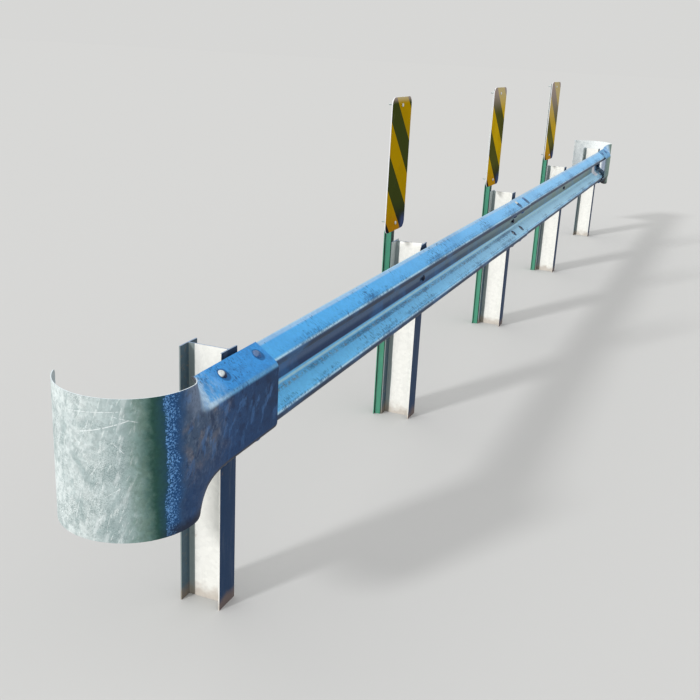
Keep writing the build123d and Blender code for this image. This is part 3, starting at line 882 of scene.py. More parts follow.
def board_finish(name, middle, turn, bright, dull, bleached):
    """Striped sheeting on the road side, bare metal elsewhere; the top share called bleached has faded."""
    board = Finish(name)
    pattern = use_group(board.tree, stripes, Vector=board.place, Middle=middle, Turn=turn)
    across, _, height = parts(pattern["Local"])
    cloud = board.patches(11.0, 0.4, 0.7)
    low = spread(height, BOARD_FOOT + 0.16, BOARD_FOOT)
    faded = spread(height, BOARD_TOP - bleached * BOARD_HEIGHT, BOARD_TOP)
    yellow = mixed(masked(cloud, 0.4), bright, (152, 122, 10))
    yellow = mixed(faded, mixed(masked(low, 0.5), yellow, (176, 104, 26)), (186, 170, 124))
    black = mixed(masked(cloud, 0.4), dull, (60, 62, 30))
    black = mixed(faded, mixed(low, black, (30, 32, 40)), (156, 142, 134))
    board.base = mixed(pattern["Yellow"], black, yellow)
    # Painted shade in the board's lower corner.
    corner = masked(spread(height, BOARD_FOOT + 0.09, BOARD_FOOT + 0.03), spread(across, 0.04, 0.10))
    board.paint((70, 84, 124), corner, 0.8)
    lines = use_group(board.tree, scratches, Vector=board.place, Turn=(0.2, 1.2, 0.0), Scale=7.0)["Mask"]
    board.paint((206, 196, 160), lines, 0.25)
    metal = mixed(board.field, (228, 228, 230), (190, 194, 198))
    metal = mixed(masked(board.streaks(42.0, 0.48, 0.66, 0.12), board.field, 0.35), metal, (160, 164, 164))
    metal = mixed(masked(cloud, board.field, 0.45), metal, (164, 172, 178))
    faces_y = parts(board.normal)[1]
    board.paint(metal, spread(faces_y, -0.93, -0.75))
    return board.done(noise(board.place, 420.0, 2.0), 0.15, 0.36, 0.00015, Specular_IOR_Level=0.0)


print("board finish ready")

# %% [markdown]
# ## Sheet sections
# A rolled or folded sheet is a bent line with a thickness. The corners of its middle line and the reach
# of each fold give the line, which is then offset to both sides to make a closed outline.
# Working from the middle line keeps one wall thickness right round every fold.

# %% Section helpers
NO_TURN = 0.0001


def straight(start, end, steps):
    """Points that lead from a start, which is left out, to an end."""
    return [start.lerp(end, step / steps) for step in range(1, steps + 1)]


def arc(centre, arm, turn, steps):
    """Points of an arc, the first one at the end of its arm."""
    return [centre + Matrix.Rotation(turn * step / steps, 2) @ arm for step in range(steps + 1)]


def moved_line(points, distance):
    """Corners of a bent line after moving it sideways, to its left."""
    moved = []
    steps = [(after - before).normalized() for before, after in zip(points, points[1:])]
    for index, point in enumerate(points):
        before = steps[max(index - 1, 0)]
        after = steps[min(index, len(steps) - 1)]
        normal = Vector((-before.y - after.y, before.x + after.x))
        moved.append(point + normal * (distance * 2 / normal.length_squared))
    return moved


def corner_turn(before, corner, after):
    """Angle a bent line turns by at a corner, positive to the left."""
    into = corner - before
    out = after - corner
    return atan2(into.x * out.y - into.y * out.x, into.dot(out))


def bent_line(points, reaches, arc_steps, run_steps):
    """Points along a bent line with rounded folds; run_steps divides each straight run."""
    made = [points[0]]
    start = points[0]
    for index, reach in enumerate(reaches):
        before, corner, after = points[index:index + 3]
        into = (corner - before).normalized()
        first = corner - into * reach
        last = corner + (after - corner).normalized() * reach
        made += straight(start, first, run_steps[index])
        turn = corner_turn(before, corner, after)
        if abs(turn) < NO_TURN:
            made += straight(first, last, arc_steps)
        else:
            centre = first + Vector((-into.y, into.x)) * (reach / tan(turn / 2))
            made += arc(centre, first - centre, turn, arc_steps)[1:]
        start = last
    return made + straight(start, points[-1], run_steps[-1])


def fold_reaches(points, radii):
    """How far folds of these middle radii reach from their corners."""
    corners = zip(points, points[1:], points[2:], radii)
    return [radius * tan(abs(corner_turn(*corner)) / 2) for *corner, radius in corners]


def sheet_ring(points, reaches, thick, arc_steps, run_steps=None):
    """Closed outline of a folded sheet, anticlockwise: one side forth and the other back."""
    points = [Vector(point) for point in points]
    run_steps = run_steps or [1] * (len(points) - 1)
    halves = [tan(corner_turn(*corner) / 2) for corner in zip(points, points[1:], points[2:])]
    sides = []
    for way in (thick / 2, -thick / 2):
        own = [reach - way * half for reach, half in zip(reaches, halves)]
        sides.append(bent_line(moved_line(points, way), own, arc_steps, run_steps))
    return sides[1] + sides[0][::-1]


print("section helpers made")

# %% [markdown]
# ## One tree for all that is rolled
# Posts, rail panels and channels are one outline carried along a straight line, so one Geometry Nodes
# tree makes them all. It sweeps the outline along a unit rod, stretches that to its length,
# lays it along X if asked, leans it where a panel sways towards its lap, and can batter the top end.
# A modifier's inputs are set by their identifiers before the object is first evaluated.

# %% Rolled length tree
INTEGER, SWITCH = "NodeSocketInt", "NodeSocketBool"
GEOMETRY, MATERIAL = "NodeSocketGeometry", "NodeSocketMaterial"
BATTERED_FROM = 0.975


def graded(value, low, high, to_high):
    """Maps a value's range evenly to the range from 0 to another value, clamped."""
    return made_by(value.id_data, "ShaderNodeMapRange", Value=value, From_Min=low, From_Max=high,
                   To_Min=0.0, To_Max=to_high)


rolled, given, result = new_group("rolled_length", "GeometryNodeTree", [
    ("Geometry", GEOMETRY, None), ("Start", FLOAT, 0.0), ("Length", FLOAT, 1.0), ("Stations", INTEGER, 2),
    ("Lies Along X", SWITCH, False), ("Sway From", FLOAT, 0.0), ("Sway To", FLOAT, 1.0),
    ("Shift", FLOAT, 0.0), ("Batter", FLOAT, 0.0), ("Material", MATERIAL, None)], [("Geometry", GEOMETRY)])
outline = made_by(rolled, "GeometryNodeMeshToCurve", Mesh=given["Geometry"])
rod = made_by(rolled, "GeometryNodeCurvePrimitiveLine", Start=(0, 0, 0), End=(0, 0, 1))
rod = made_by(rolled, "GeometryNodeResampleCurve", Curve=rod, Count=given["Stations"])
swept = made_by(rolled, "GeometryNodeCurveToMesh", Curve=rod, Profile_Curve=outline, Fill_Caps=True)
x, y, z = parts(made_by(rolled, "GeometryNodeInputPosition"))
along = maths("MULTIPLY_ADD", z, given["Length"], given["Start"])
lean = graded(along, given["Sway From"], given["Sway To"], given["Shift"])
upright = combined(x, y, along)
flat = combined(along, maths("SUBTRACT", x, lean), y)
laid = made_by(rolled, "GeometryNodeSwitch", {"input_type": "VECTOR"}, _0=given["Lies Along X"],
               _1=upright, _2=flat)
knock = vector_maths("SUBTRACT", noise(laid, 28.0, 2.0, "Color"), (0.5, 0.5, 0.5))
near_top = graded(z, BATTERED_FROM, 1.0, given["Batter"])
pushed = made_by(rolled, "ShaderNodeVectorMath", {"operation": "SCALE"}, Vector=knock, Scale=near_top)
placed = made_by(rolled, "GeometryNodeSetPosition", Geometry=swept, Position=laid, Offset=pushed)
skinned = made_by(rolled, "GeometryNodeSetMaterial", Geometry=placed, Material=given["Material"])
join(skinned, result["Geometry"])
print("rolled_length has", len(rolled.nodes), "nodes")

# %% [markdown]
# A piece starts as an object that holds its outline as edges. The tree's result is turned into
# a plain mesh and the modifier goes. Then the piece says what it rides on and which solid it stands for.

# %% Rolled pieces


def set_inputs(modifier, values):
    """Sets a Geometry Nodes modifier's named inputs by their identifiers."""
    for item in modifier.node_group.interface.items_tree:
        if item.item_type == "SOCKET" and item.in_out == "INPUT" and item.name in values:
            modifier[item.identifier] = values[item.name]


def made_plain(piece):
    """Turns an object with modifiers into one with a plain mesh."""
    graph = bpy.context.evaluated_depsgraph_get()
    mesh = bpy.data.meshes.new_from_object(piece.evaluated_get(graph))
    piece.modifiers.clear()
    old = piece.data
    piece.data = mesh
    bpy.data.meshes.remove(old)
    mesh.name = piece.name


def grown(piece, group, values):
    """Runs a Geometry Nodes tree on a piece and keeps its result."""
    modifier = piece.modifiers.new(group.name, "NODES")
    modifier.node_group = group
    set_inputs(modifier, values)
    made_plain(piece)
    return piece


def roll(name, ring, material, **values):
    """A rolled piece from its outline and the tree's inputs."""
    count = len(ring)
    mesh = bpy.data.meshes.new(name)
    mesh.from_pydata([(point[0], point[1], 0) for point in ring],
                     [(index, (index + 1) % count) for index in range(count)], [])
    named = {key.replace("_", " "): value for key, value in values.items()}
    return grown(add_object(name, mesh), rolled, {**named, "Material": material})


def hand_over(piece, slot, *nodes, sharp=30):
    """Smooths a finished piece up to an angle and says the nodes that it stands for; its slot is not used."""
    piece.data.shade_smooth()
    piece.data.set_sharp_from_angle(angle=radians(sharp))
    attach(piece, "root")
    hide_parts(*nodes)
    print(piece.name, len(piece.data.polygons), "faces")


print("rolling and handing over ready")

# %% [markdown]
# ## Shapes made from rings
# A slot's cutter, a bolt or an end section is a stack of closed rings with the same number of points.
# Neighbouring rings are joined with four-sided faces, so the result is closed and its faces look outward
# as long as each ring runs anticlockwise seen from the next one.

# %% Ring helpers


def stacked(name, rings, strip_caps=False):
    """A closed object through rings of points; strip_caps closes a folded sheet's ends with quads."""
    count = len(rings[0])
    points = [tuple(point) for ring in rings for point in ring]
    faces = []
    for low in range(0, len(points) - count, count):
        for index in range(count):
            after = (index + 1) % count
            faces.append((low + index, low + after, low + count + after, low + count + index))
    last = len(points) - count
    if strip_caps:
        for index in range(count // 2 - 1):
            back = count - 1 - index
            faces.append((index, back, back - 1, index + 1))
            faces.append((last + index, last + index + 1, last + back - 1, last + back))
    else:
        faces.append(tuple(range(count))[::-1])
        faces.append(tuple(range(last, last + count)))
    mesh = bpy.data.meshes.new(name)
    mesh.from_pydata(points, [], faces)
    return add_object(name, mesh)


def rounded_ring(corners, steps=5):
    """Closed outline through (x, y, radius) corners, anticlockwise."""
    ring = []
    for index, (x, y, radius) in enumerate(corners):
        corner = Vector((x, y))
        before = Vector(corners[index - 1][:2])
        after = Vector(corners[(index + 1) % len(corners)][:2])
        turn = corner_turn(before, corner, after)
        into = (corner - before).normalized()
        first = corner - into * (radius * tan(abs(turn) / 2))
        centre = first + Vector((-into.y, into.x)) * (radius if turn > 0 else -radius)
        ring += arc(centre, first - centre, turn, steps)
    return ring


def joined(pieces):
    """Several objects made into one."""
    first = pieces[0]
    if len(pieces) > 1:
        with bpy.context.temp_override(active_object=first, object=first, selected_objects=pieces,
                                       selected_editable_objects=pieces):
            bpy.ops.object.join()
    return first


print("ring helpers made")

# %% [markdown]
# Holes are cut with an exact boolean. A cutter is a round-ended prism on a point of the surface, along
# the normal there, so points on the rail's flanks and in its valley come with their normals.

# %% Holes and points on the rail
CUT_DEPTH = 4 * SHEET
CUT_STEPS = 12


def slot_cutter(name, cuts):
    """One object with a prism for each (place, normal, length, width); the length lies along X."""
    pieces = []
    for place, normal, length, width in cuts:
        across = normal.cross(Vector((1, 0, 0)))
        half = (length - width) / 2
        rings = []
        for depth in (-CUT_DEPTH, CUT_DEPTH):
            ring = []
            for end, first in ((half, -pi / 2), (-half, pi / 2)):
                for step in range(CUT_STEPS):
                    angle = first + pi * (step + 0.5) / CUT_STEPS
                    ring.append(place + Vector((1, 0, 0)) * (end + width / 2 * cos(angle))
                                + across * (width / 2 * sin(angle)) + normal * depth)
            rings.append(ring)
        pieces.append(stacked(name, rings))
    return joined(pieces)


def punched(piece, cuts):
    """Cuts holes into a piece."""
    cutter = slot_cutter("holes", cuts)
    cut = piece.modifiers.new("holes", "BOOLEAN")
    cut.solver = "EXACT"
    cut.operation = "DIFFERENCE"
    cut.object = cutter
    made_plain(piece)
    bpy.data.objects.remove(cutter)


def flank_point(x, rise, lift=0.0):
    """A point on the road side of a rail flank and the flank's normal there."""
    crest = CREST_RISE if rise > 0 else -CREST_RISE
    out = CREST_APEX + SHEET / 2 / sin(SLOPE) - abs(rise - crest) / tan(SLOPE)
    way = 1 if rise > crest else -1
    normal = Vector((0, -sin(SLOPE), way * cos(SLOPE)))
    return Vector((x, ROAD_FACE - out, RAIL_CENTRE + rise)) + normal * lift, normal


def valley_point(x, lift=0.0):
    """A point on the road side of the rail's valley and its normal."""
    return Vector((x, ROAD_FACE - SHEET - lift, RAIL_CENTRE)), Vector((0, -1, 0))


print("hole helpers made")

# %% [markdown]
# ## Posts
# The posts are wide-flange sections, rolled in one piece: two flanges, a thin web and a small fillet
# in each inner corner. The outline is drawn once and carried up by the rolled length tree.
# The second post's top has been battered by the driving hammer. Each road-side flange has one bolt hole.

# %% Posts
POST_BOLT_SHIFT = 0.0225
BOLT = 0.016
HOLE = BOLT + 0.002
TOE = 0.0015
BATTERS = [0.004, 0.030, 0.006, 0.004, 0.005]
POST_STATIONS = 90

half_web = POST_WEB / 2
half_width = POST_WIDTH / 2
inner = POST_DEPTH / 2 - POST_FLANGE
post_corners = [
    (half_width, FIELD_FACE, TOE), (-half_width, FIELD_FACE, TOE), (-half_width, inner, TOE),
    (-half_web, inner, POST_ROOT), (-half_web, -inner, POST_ROOT), (-half_width, -inner, TOE),
    (-half_width, ROAD_FACE, TOE), (half_width, ROAD_FACE, TOE), (half_width, -inner, TOE),
    (half_web, -inner, POST_ROOT), (half_web, inner, POST_ROOT), (half_width, inner, TOE)]
for number, (place, height, batter) in enumerate(zip(POST_PLACES, POST_HEIGHTS, BATTERS), start=1):
    ring = [point + Vector((place, 0)) for point in rounded_ring(post_corners)]
    piece = roll(f"post_{number}_rolled", ring, post_zinc, Start=0.0, Length=height, Stations=POST_STATIONS,
                 Batter=batter)
    hole = Vector((place + POST_BOLT_SHIFT, ROAD_FACE, RAIL_CENTRE))
    punched(piece, [(hole, Vector((0, -1, 0)), HOLE, HOLE)])
    hand_over(piece, "post_steel", f"post_{number}")

# %% [markdown]
# ## Rail panels
# The rail is roll-formed from one strip of 2.7 mm steel: two crests towards the road with a valley between.
# The near panel lies over the far one at the middle post, so it sways off the posts by one sheet there.
# Slots are punched for the splice bolts in all four flanks and for the post bolts in the valley.

# %% Rails
SPLICE_SLOT = (0.029, 0.023)
POST_SLOT = (0.064, 0.019)
ROWS = [CREST_RISE + ROW, CREST_RISE - ROW, -CREST_RISE + ROW, -CREST_RISE - ROW]
NEAR_STATIONS = 75
FAR_STATIONS = 40
RAIL_FOLD_STEPS = 10
RAIL_RUN_STEPS = [3, 3, 1, 3, 3]

valley_rise = CREST_RISE - (CREST_APEX - SHEET / 2) * tan(SLOPE)
lip_rise = CREST_RISE + (CREST_APEX - LIP_SETBACK) * tan(SLOPE)
rail_line = [(LIP_SETBACK, -lip_rise), (CREST_APEX, -CREST_RISE), (SHEET / 2, -valley_rise),
             (SHEET / 2, valley_rise), (CREST_APEX, CREST_RISE), (LIP_SETBACK, lip_rise)]
rail_line = [Vector((ROAD_FACE - out, RAIL_CENTRE + rise)) for out, rise in rail_line]
crest_bend = CREST_RADIUS - SHEET / 2
valley_bend = VALLEY_RADIUS + SHEET / 2
rail_reaches = fold_reaches(rail_line, [crest_bend, valley_bend, valley_bend, crest_bend])
rail_ring = sheet_ring(rail_line, rail_reaches, SHEET, RAIL_FOLD_STEPS, RAIL_RUN_STEPS)


def rail_slots(splices, posts):
    """The slots of a panel: splices are (place, lift) and posts are places."""
    cuts = []
    for place, lift in splices:
        for column in COLUMNS:
            cuts += [(*flank_point(place + column, rise, lift), *SPLICE_SLOT) for rise in ROWS]
    return cuts + [(*valley_point(place), *POST_SLOT) for place in posts]


near_rail = roll("rail_near_rolled", rail_ring, rail_zinc, Start=-RAIL_END, Length=RAIL_END + LAP / 2,
                 Stations=NEAR_STATIONS, Lies_Along_X=True, Sway_From=SWAY_FROM, Sway_To=SWAY_TO,
                 Shift=LAP_SHIFT)
punched(near_rail, rail_slots([(-END_SPLICE, 0.0), (0.0, LAP_SHIFT * sin(SLOPE))], POST_PLACES[:3]))
hand_over(near_rail, "rail_steel", "rail_near")
far_rail = roll("rail_far_rolled", rail_ring, rail_zinc, Start=-LAP / 2, Length=RAIL_END + LAP / 2,
                Stations=FAR_STATIONS, Lies_Along_X=True)
punched(far_rail, rail_slots([(0.0, 0.0), (END_SPLICE, 0.0)], POST_PLACES[2:]))
hand_over(far_rail, "rail_steel", "rail_far")

# %% [markdown]
# ## End sections
# An end section is one sheet: a hat that lies over the rail's end, a flare in which both flanks open,
# a flat plate, and a curl back to the field side with rounded corners at its free edge.
# No single outline fits all of it, so each station gets its own section, worked out by the same rule
# as the solid, with many more stations and fold steps. The near one is made in the same way and
# mirrored, and the two plates stand out by different distances.

# %% End section of one station
LOW_FLARE = POST_PLACES[-1] + 0.150
TOP_FLARE = POST_PLACES[-1] + 0.230
END_START = END_SPLICE - COLUMN - 0.050
END_FOLD = pi / 2 - SLOPE
END_BEND = 0.030
END_REACH = END_BEND * tan(END_FOLD / 2)
END_FOLD_STEPS = 8
END_RUN_STEPS = [5, 9, 5]
END_FLANK = 0.1035
PLATE_FLANK = 0.099
END_SLACK = 0.010
END_SKIN = (SHEET + SHEET_GAP) / cos(SLOPE)
FOLD_RISE = CREST_RISE + (CREST_APEX - END_FACE + SHEET / 2) * tan(SLOPE) + END_SKIN


def eased(x, start):
    """Smooth share from a flare's start (0) to the flat plate (1)."""
    share = min(max((x - start) / (PLATE_START - start), 0.0), 1.0)
    return share * share * (3 - 2 * share)


def end_ring(x):
    """Section of an end section at a station, as (minus out, up) points."""
    face = END_FACE - SHEET / 2
    top = END_FOLD * (1 - eased(x, TOP_FLARE))
    low = END_FOLD * (1 - eased(x, LOW_FLARE))
    top_flank = PLATE_FLANK + (END_FLANK - PLATE_FLANK) * top / END_FOLD
    low_flank = PLATE_FLANK + (END_FLANK - PLATE_FLANK) * low / END_FOLD
    line = [(face - low_flank * sin(low), -FOLD_RISE - END_SLACK - low_flank * cos(low)),
            (face, -FOLD_RISE - END_SLACK), (face, FOLD_RISE),
            (face - top_flank * sin(top), FOLD_RISE + top_flank * cos(top))]
    line = [(-out, rise) for out, rise in line]
    return sheet_ring(line, [END_REACH, END_REACH], SHEET, END_FOLD_STEPS, END_RUN_STEPS)


print("plate section has", len(end_ring(PLATE_START)), "points")

# %% [markdown]
# The rings run from the hat through the flare to the plate, and then turn about the curl's centre.
# Over the last stretch the plate's corners are rounded off, so there the rings lie closer together.
# Each ring also says how far along the unrolled sheet it lies, which the sheet's own UV map keeps.

# %% Rings and map of an end section
HAT_STATIONS = 8
FLARE_STATIONS = 26
CURL_STATIONS = 49
CORNER_STATIONS = 7
CURL_SWEEP = radians(158)
CURL_CORNER = 0.014


def end_rings(plate_out):
    """All rings of the far end section, and how far along the sheet each lies from the plate's start."""
    rings = []
    lengths = []
    hat = list(np.linspace(END_START, LOW_FLARE, HAT_STATIONS)[:-1])
    for x in hat + list(np.linspace(LOW_FLARE, PLATE_START, FLARE_STATIONS)):
        out = plate_out * eased(x, RAIL_END)
        rings.append([(x, ROAD_FACE + point.x - out, RAIL_CENTRE + point.y) for point in end_ring(x)])
        lengths.append(x - PLATE_START)
    centre_y = ROAD_FACE - END_FACE - plate_out + CURL_RADIUS
    plate = end_ring(PLATE_START)
    low = min(point.y for point in plate)
    high = max(point.y for point in plate)
    last_arc = CURL_CORNER / CURL_RADIUS
    corner_start = CURL_SWEEP - last_arc
    angles = list(np.linspace(0, corner_start, CURL_STATIONS)[1:])
    angles += [corner_start + last_arc * sin(pi / 2 * step / CORNER_STATIONS)
               for step in range(1, CORNER_STATIONS + 1)]
    for angle in angles:
        gone = max(angle - corner_start, 0) * CURL_RADIUS
        cut = CURL_CORNER - (max(CURL_CORNER ** 2 - gone ** 2, 0)) ** 0.5
        ring = []
        for point in plate:
            radius = CURL_RADIUS - END_FACE - point.x
            rise = min(max(point.y, low + cut), high - cut)
            ring.append((PLATE_START + radius * sin(angle), centre_y - radius * cos(angle),
                         RAIL_CENTRE + rise))
        rings.append(ring)
        lengths.append(CURL_RADIUS * angle)
    return rings, lengths


def add_sheet_map(piece, rings, lengths):
    """Gives a folded sheet its unrolled map: the length along it, and the girth up from its face's middle."""
    half = len(rings[0]) // 2
    places = []
    for ring, length in zip(rings, lengths):
        walk = [0.0]
        for before, after in zip(ring[:half], ring[1:half]):
            sideways = after[1] - before[1] if length <= 0 else 0.0
            walk.append(walk[-1] + hypot(sideways, after[2] - before[2]))
        walk = [step - walk[-1] / 2 for step in walk]
        places += [(length, step) for step in walk + walk[::-1]]
    sheet_map = piece.data.uv_layers.new(name=SHEET_MAP)
    for loop, corner in zip(piece.data.loops, sheet_map.data):
        corner.uv = places[loop.vertex_index]


print("far end section has", len(end_rings(FAR_OUT)[0]), "rings")

# %% End sections
for end, way, plate_out, material in (("far", 1, FAR_OUT, far_zinc), ("near", -1, NEAR_OUT, near_zinc)):
    rings, lengths = end_rings(plate_out)
    if way < 0:
        rings = [[(-x, y, z) for x, y, z in ring] for ring in rings[::-1]]
        lengths = lengths[::-1]
    piece = stacked(f"end_section_{end}_folded", rings, strip_caps=True)
    add_sheet_map(piece, rings, lengths)
    piece.data.materials.append(material)
    cuts = []
    for column in COLUMNS:
        cuts.append((*flank_point(way * END_SPLICE + column, ROWS[0]), *SPLICE_SLOT))
        cuts.append((*flank_point(way * END_SPLICE + column, ROWS[3], END_SLACK), *SPLICE_SLOT))
    punched(piece, cuts)
    hand_over(piece, "end_steel", f"end_section_{end}")

# %% [markdown]
# ## Bolts
# A guardrail bolt has a wide, flat button head, and a hexagon nut behind with its corners turned off.
# Shank, thread, nut and head are one stack of rings: for the nut each ring is a hexagon
# cut down to a circle near its faces.

# %% Bolt shapes
HEAD_RADIUS = 0.0165
HEAD_HEIGHT = 0.009
HEAD_EDGE = [(0.0, 0.0007), (0.0006, 0.0004)]
HEAD_TIP = 0.0006
DOME_STEPS = 10
SEAT = 0.0003
TURNED = 36
TIP_WIDTHS = (0.80, 0.97)
THREAD_PITCH = 0.002
THREAD_ROOT = 0.90
TIP_LENGTH = 0.0012
SHOULDER = 0.0001
CHAMFER = [(0.0, 0.96), (0.06, 1.0), (0.13, 1.08), (0.19, 1.16)]


def turned_ring(z, limit, flats=None):
    """A ring at a height: a circle, or a hexagon cut down to a circle of the limit."""
    ring = []
    for index in range(TURNED):
        angle = 2 * pi * index / TURNED
        radius = limit
        if flats:
            radius = min(limit, flats / 2 / cos((angle + pi / 6) % (pi / 3) - pi / 6))
        ring.append((radius * cos(angle), radius * sin(angle), z))
    return ring


def nut_rings(top, height, flats):
    """A nut's rings from its far face up."""
    levels = CHAMFER + [(1 - level, width) for level, width in CHAMFER[::-1]]
    return [turned_ring(top - height + height * level, flats / 2 * width, flats) for level, width in levels]


def bolt_mesh(name, shank, grip, nut_height, flats, tail, crown):
    """A bolt along Z, the underside of its head at zero; crown lists the head's (z, radius)."""
    nut_end = -grip - nut_height
    z = nut_end - tail + TIP_LENGTH
    rings = [turned_ring(level, shank * width) for level, width in zip((nut_end - tail, z), TIP_WIDTHS)]
    while z + THREAD_PITCH < nut_end:
        rings.append(turned_ring(z + THREAD_PITCH / 2, shank * THREAD_ROOT))
        rings.append(turned_ring(z + THREAD_PITCH, shank))
        z += THREAD_PITCH
    rings.append(turned_ring(nut_end - SHOULDER, shank))
    rings += nut_rings(-grip, nut_height, flats)
    rings += [turned_ring(-grip + SHOULDER, shank), turned_ring(-SHOULDER, shank)]
    rings += [turned_ring(level, radius) for level, radius in crown]
    made = stacked(name, rings)
    made.hide_render = True
    return made


def button_crown():
    """Rings of a domed button head."""
    cap = (HEAD_RADIUS ** 2 + HEAD_HEIGHT ** 2) / (2 * HEAD_HEIGHT)
    half = atan2(HEAD_RADIUS, cap - HEAD_HEIGHT)
    rings = [(level, HEAD_RADIUS - cut) for level, cut in HEAD_EDGE]
    for step in range(1, DOME_STEPS):
        angle = half * (1 - step / DOME_STEPS)
        rings.append((cap * cos(angle) - cap + HEAD_HEIGHT, cap * sin(angle)))
    return rings + [(HEAD_HEIGHT, HEAD_TIP)]


print("button head has", len(button_crown()), "rings")

# %% [markdown]
# A small tree sets a bolt at every point, aims it along the point's normal and spins it by its own
# random angle, then makes the copies real.

# %% Bolts in place tree
bolted, given, result = new_group("bolts_in_place", "GeometryNodeTree", [
    ("Geometry", GEOMETRY, None), ("Bolt", "NodeSocketObject", None), ("Seed", INTEGER, 0),
    ("Material", MATERIAL, None)], [("Geometry", GEOMETRY)])
aim = made_by(bolted, "GeometryNodeInputNamedAttribute", {"data_type": "FLOAT_VECTOR"}, Name="aim")
aimed = made_by(bolted, "FunctionNodeAlignRotationToVector", {"axis": "Z"}, Vector=aim)
spin = add_node(bolted, "FunctionNodeRandomValue", {"data_type": "FLOAT"}, Seed=given["Seed"]).outputs[1]
angle = made_by(bolted, "ShaderNodeCombineXYZ", Z=maths("MULTIPLY", spin, pi / 3))
twist = made_by(bolted, "FunctionNodeEulerToRotation", Euler=angle)
spun = made_by(bolted, "FunctionNodeRotateRotation", {"rotation_space": "LOCAL"}, Rotation=aimed,
               Rotate_By=twist)
shape = add_node(bolted, "GeometryNodeObjectInfo", {"transform_space": "ORIGINAL"}, Object=given["Bolt"])
copies = made_by(bolted, "GeometryNodeInstanceOnPoints", Points=given["Geometry"],
                 Instance=shape.outputs["Geometry"], Rotation=spun)
real = made_by(bolted, "GeometryNodeRealizeInstances", Geometry=copies)
skinned = made_by(bolted, "GeometryNodeSetMaterial", Geometry=real, Material=given["Material"])
join(skinned, result["Geometry"])


def set_bolts(name, bolt, spots, material, slot, node, seed):
    """Sets a bolt at each (place, normal) and hands the lot over as one piece."""
    mesh = bpy.data.meshes.new(name)
    mesh.from_pydata([tuple(place) for place, normal in spots], [], [])
    aims = mesh.attributes.new("aim", "FLOAT_VECTOR", "POINT")
    for item, (place, normal) in zip(aims.data, spots):
        item.vector = normal
    piece = grown(add_object(name, mesh), bolted, {"Bolt": bolt, "Seed": seed, "Material": material})
    hand_over(piece, slot, node, sharp=35)


print("bolts_in_place has", len(bolted.nodes), "nodes")

# %% [markdown]
# Two bolts hold each row of the lap and of the end sections. The lower flanks of the end sections
# lie a little off the rail, so their bolts are longer. The lap's third row has empty slots.

# %% Bolts
NUT_HEIGHT = 0.013
NUT_FLATS = 0.026
BOLT_TAIL = 0.007
COVER = SHEET + SHEET_GAP
LOW_COVER = COVER + END_SLACK * cos(SLOPE)


def rail_bolt(name, thick):
    """A guardrail bolt through sheets of this thickness."""
    return bolt_mesh(name, BOLT / 2, thick + 2 * SEAT, NUT_HEIGHT, NUT_FLATS, BOLT_TAIL, button_crown())


short_bolt = rail_bolt("short_bolt", COVER + SHEET)
slack_bolt = rail_bolt("slack_bolt", LOW_COVER + SHEET)
for seed, (level, rise) in enumerate((("top", ROWS[0]), ("upper_under", ROWS[1]), ("low", ROWS[3]))):
    spots = [flank_point(column, rise, COVER + SEAT) for column in COLUMNS]
    set_bolts(f"splice_{level}_bolts_turned", short_bolt, spots, bright_bolt, "bolt_steel",
              f"splice_bolts_{level}", seed)
end_rows = (("top", short_bolt, ROWS[0], COVER, 10), ("low", slack_bolt, ROWS[3], LOW_COVER, 15))
for more, (end, way) in enumerate((("near", -1), ("far", 1))):
    for level, bolt, rise, cover, seed in end_rows:
        spots = [flank_point(way * (END_SPLICE + column), rise, cover + SEAT) for column in COLUMNS]
        set_bolts(f"end_{end}_{level}_bolts_turned", bolt, spots, bright_bolt, "bolt_steel",
                  f"end_bolts_{end}_{level}", seed + more)
for number, place in enumerate(POST_PLACES, start=1):
    lift = LAP_SHIFT if number == 3 else 0.0
    long_bolt = rail_bolt(f"post_bolt_{number}_shape", lift + SHEET + POST_FLANGE)
    spots = [valley_point(place + POST_BOLT_SHIFT, lift + SEAT)]
    set_bolts(f"post_bolt_{number}_turned", long_bolt, spots, shaded_bolt, "bolt_steel",
              f"post_bolt_{number}", 20 + number)
    bpy.data.objects.remove(long_bolt)
bpy.data.objects.remove(short_bolt)
bpy.data.objects.remove(slack_bolt)

# %% [markdown]
# ## Hazard markers
# Each marker is a flat metal board on a folded channel post that stands right behind a guardrail post.
# Two long bolts with low heads go through board and channel. The far two boards are turned a little
# towards the near end, and their channels with them.
# The channel is another rolled length. The board is a rounded outline with soft edges, and the one
# towards the far end is the more ragged.

# %% Channel, board and bolt shapes
CHANNEL_SHEET = 0.0035
CHANNEL_DEPTH = 0.034
CHANNEL_HALF = 0.036
CHANNEL_LIP = 0.012
CHANNEL_BEND = 0.005
CHANNEL_FOLD_STEPS = 6
WEB_HALF = 0.016
BOARD_BOLT = 0.010
BOARD_BOLT_LENGTH = 0.067
BOARD_NUT_HEIGHT = 0.008
BOARD_NUT_FLATS = 0.017
BOARD_CROWN = [(0.0, 0.0082), (0.0008, 0.0085), (0.0028, 0.0085), (0.0040, 0.0077), (0.0050, 0.0064),
               (0.0057, 0.0045), (0.0060, 0.0020), (0.0060, 0.0004)]
EDGE_ROUND = [(0.0, 0.0007), (0.0003, 0.0002), (0.0008, 0.0)]
EDGE_STEP = 0.012
EDGE_REACH = 0.02
BOARD_CORNER_STEPS = 10
RAGGED = 0.0010
CALM_SHARE = 0.3

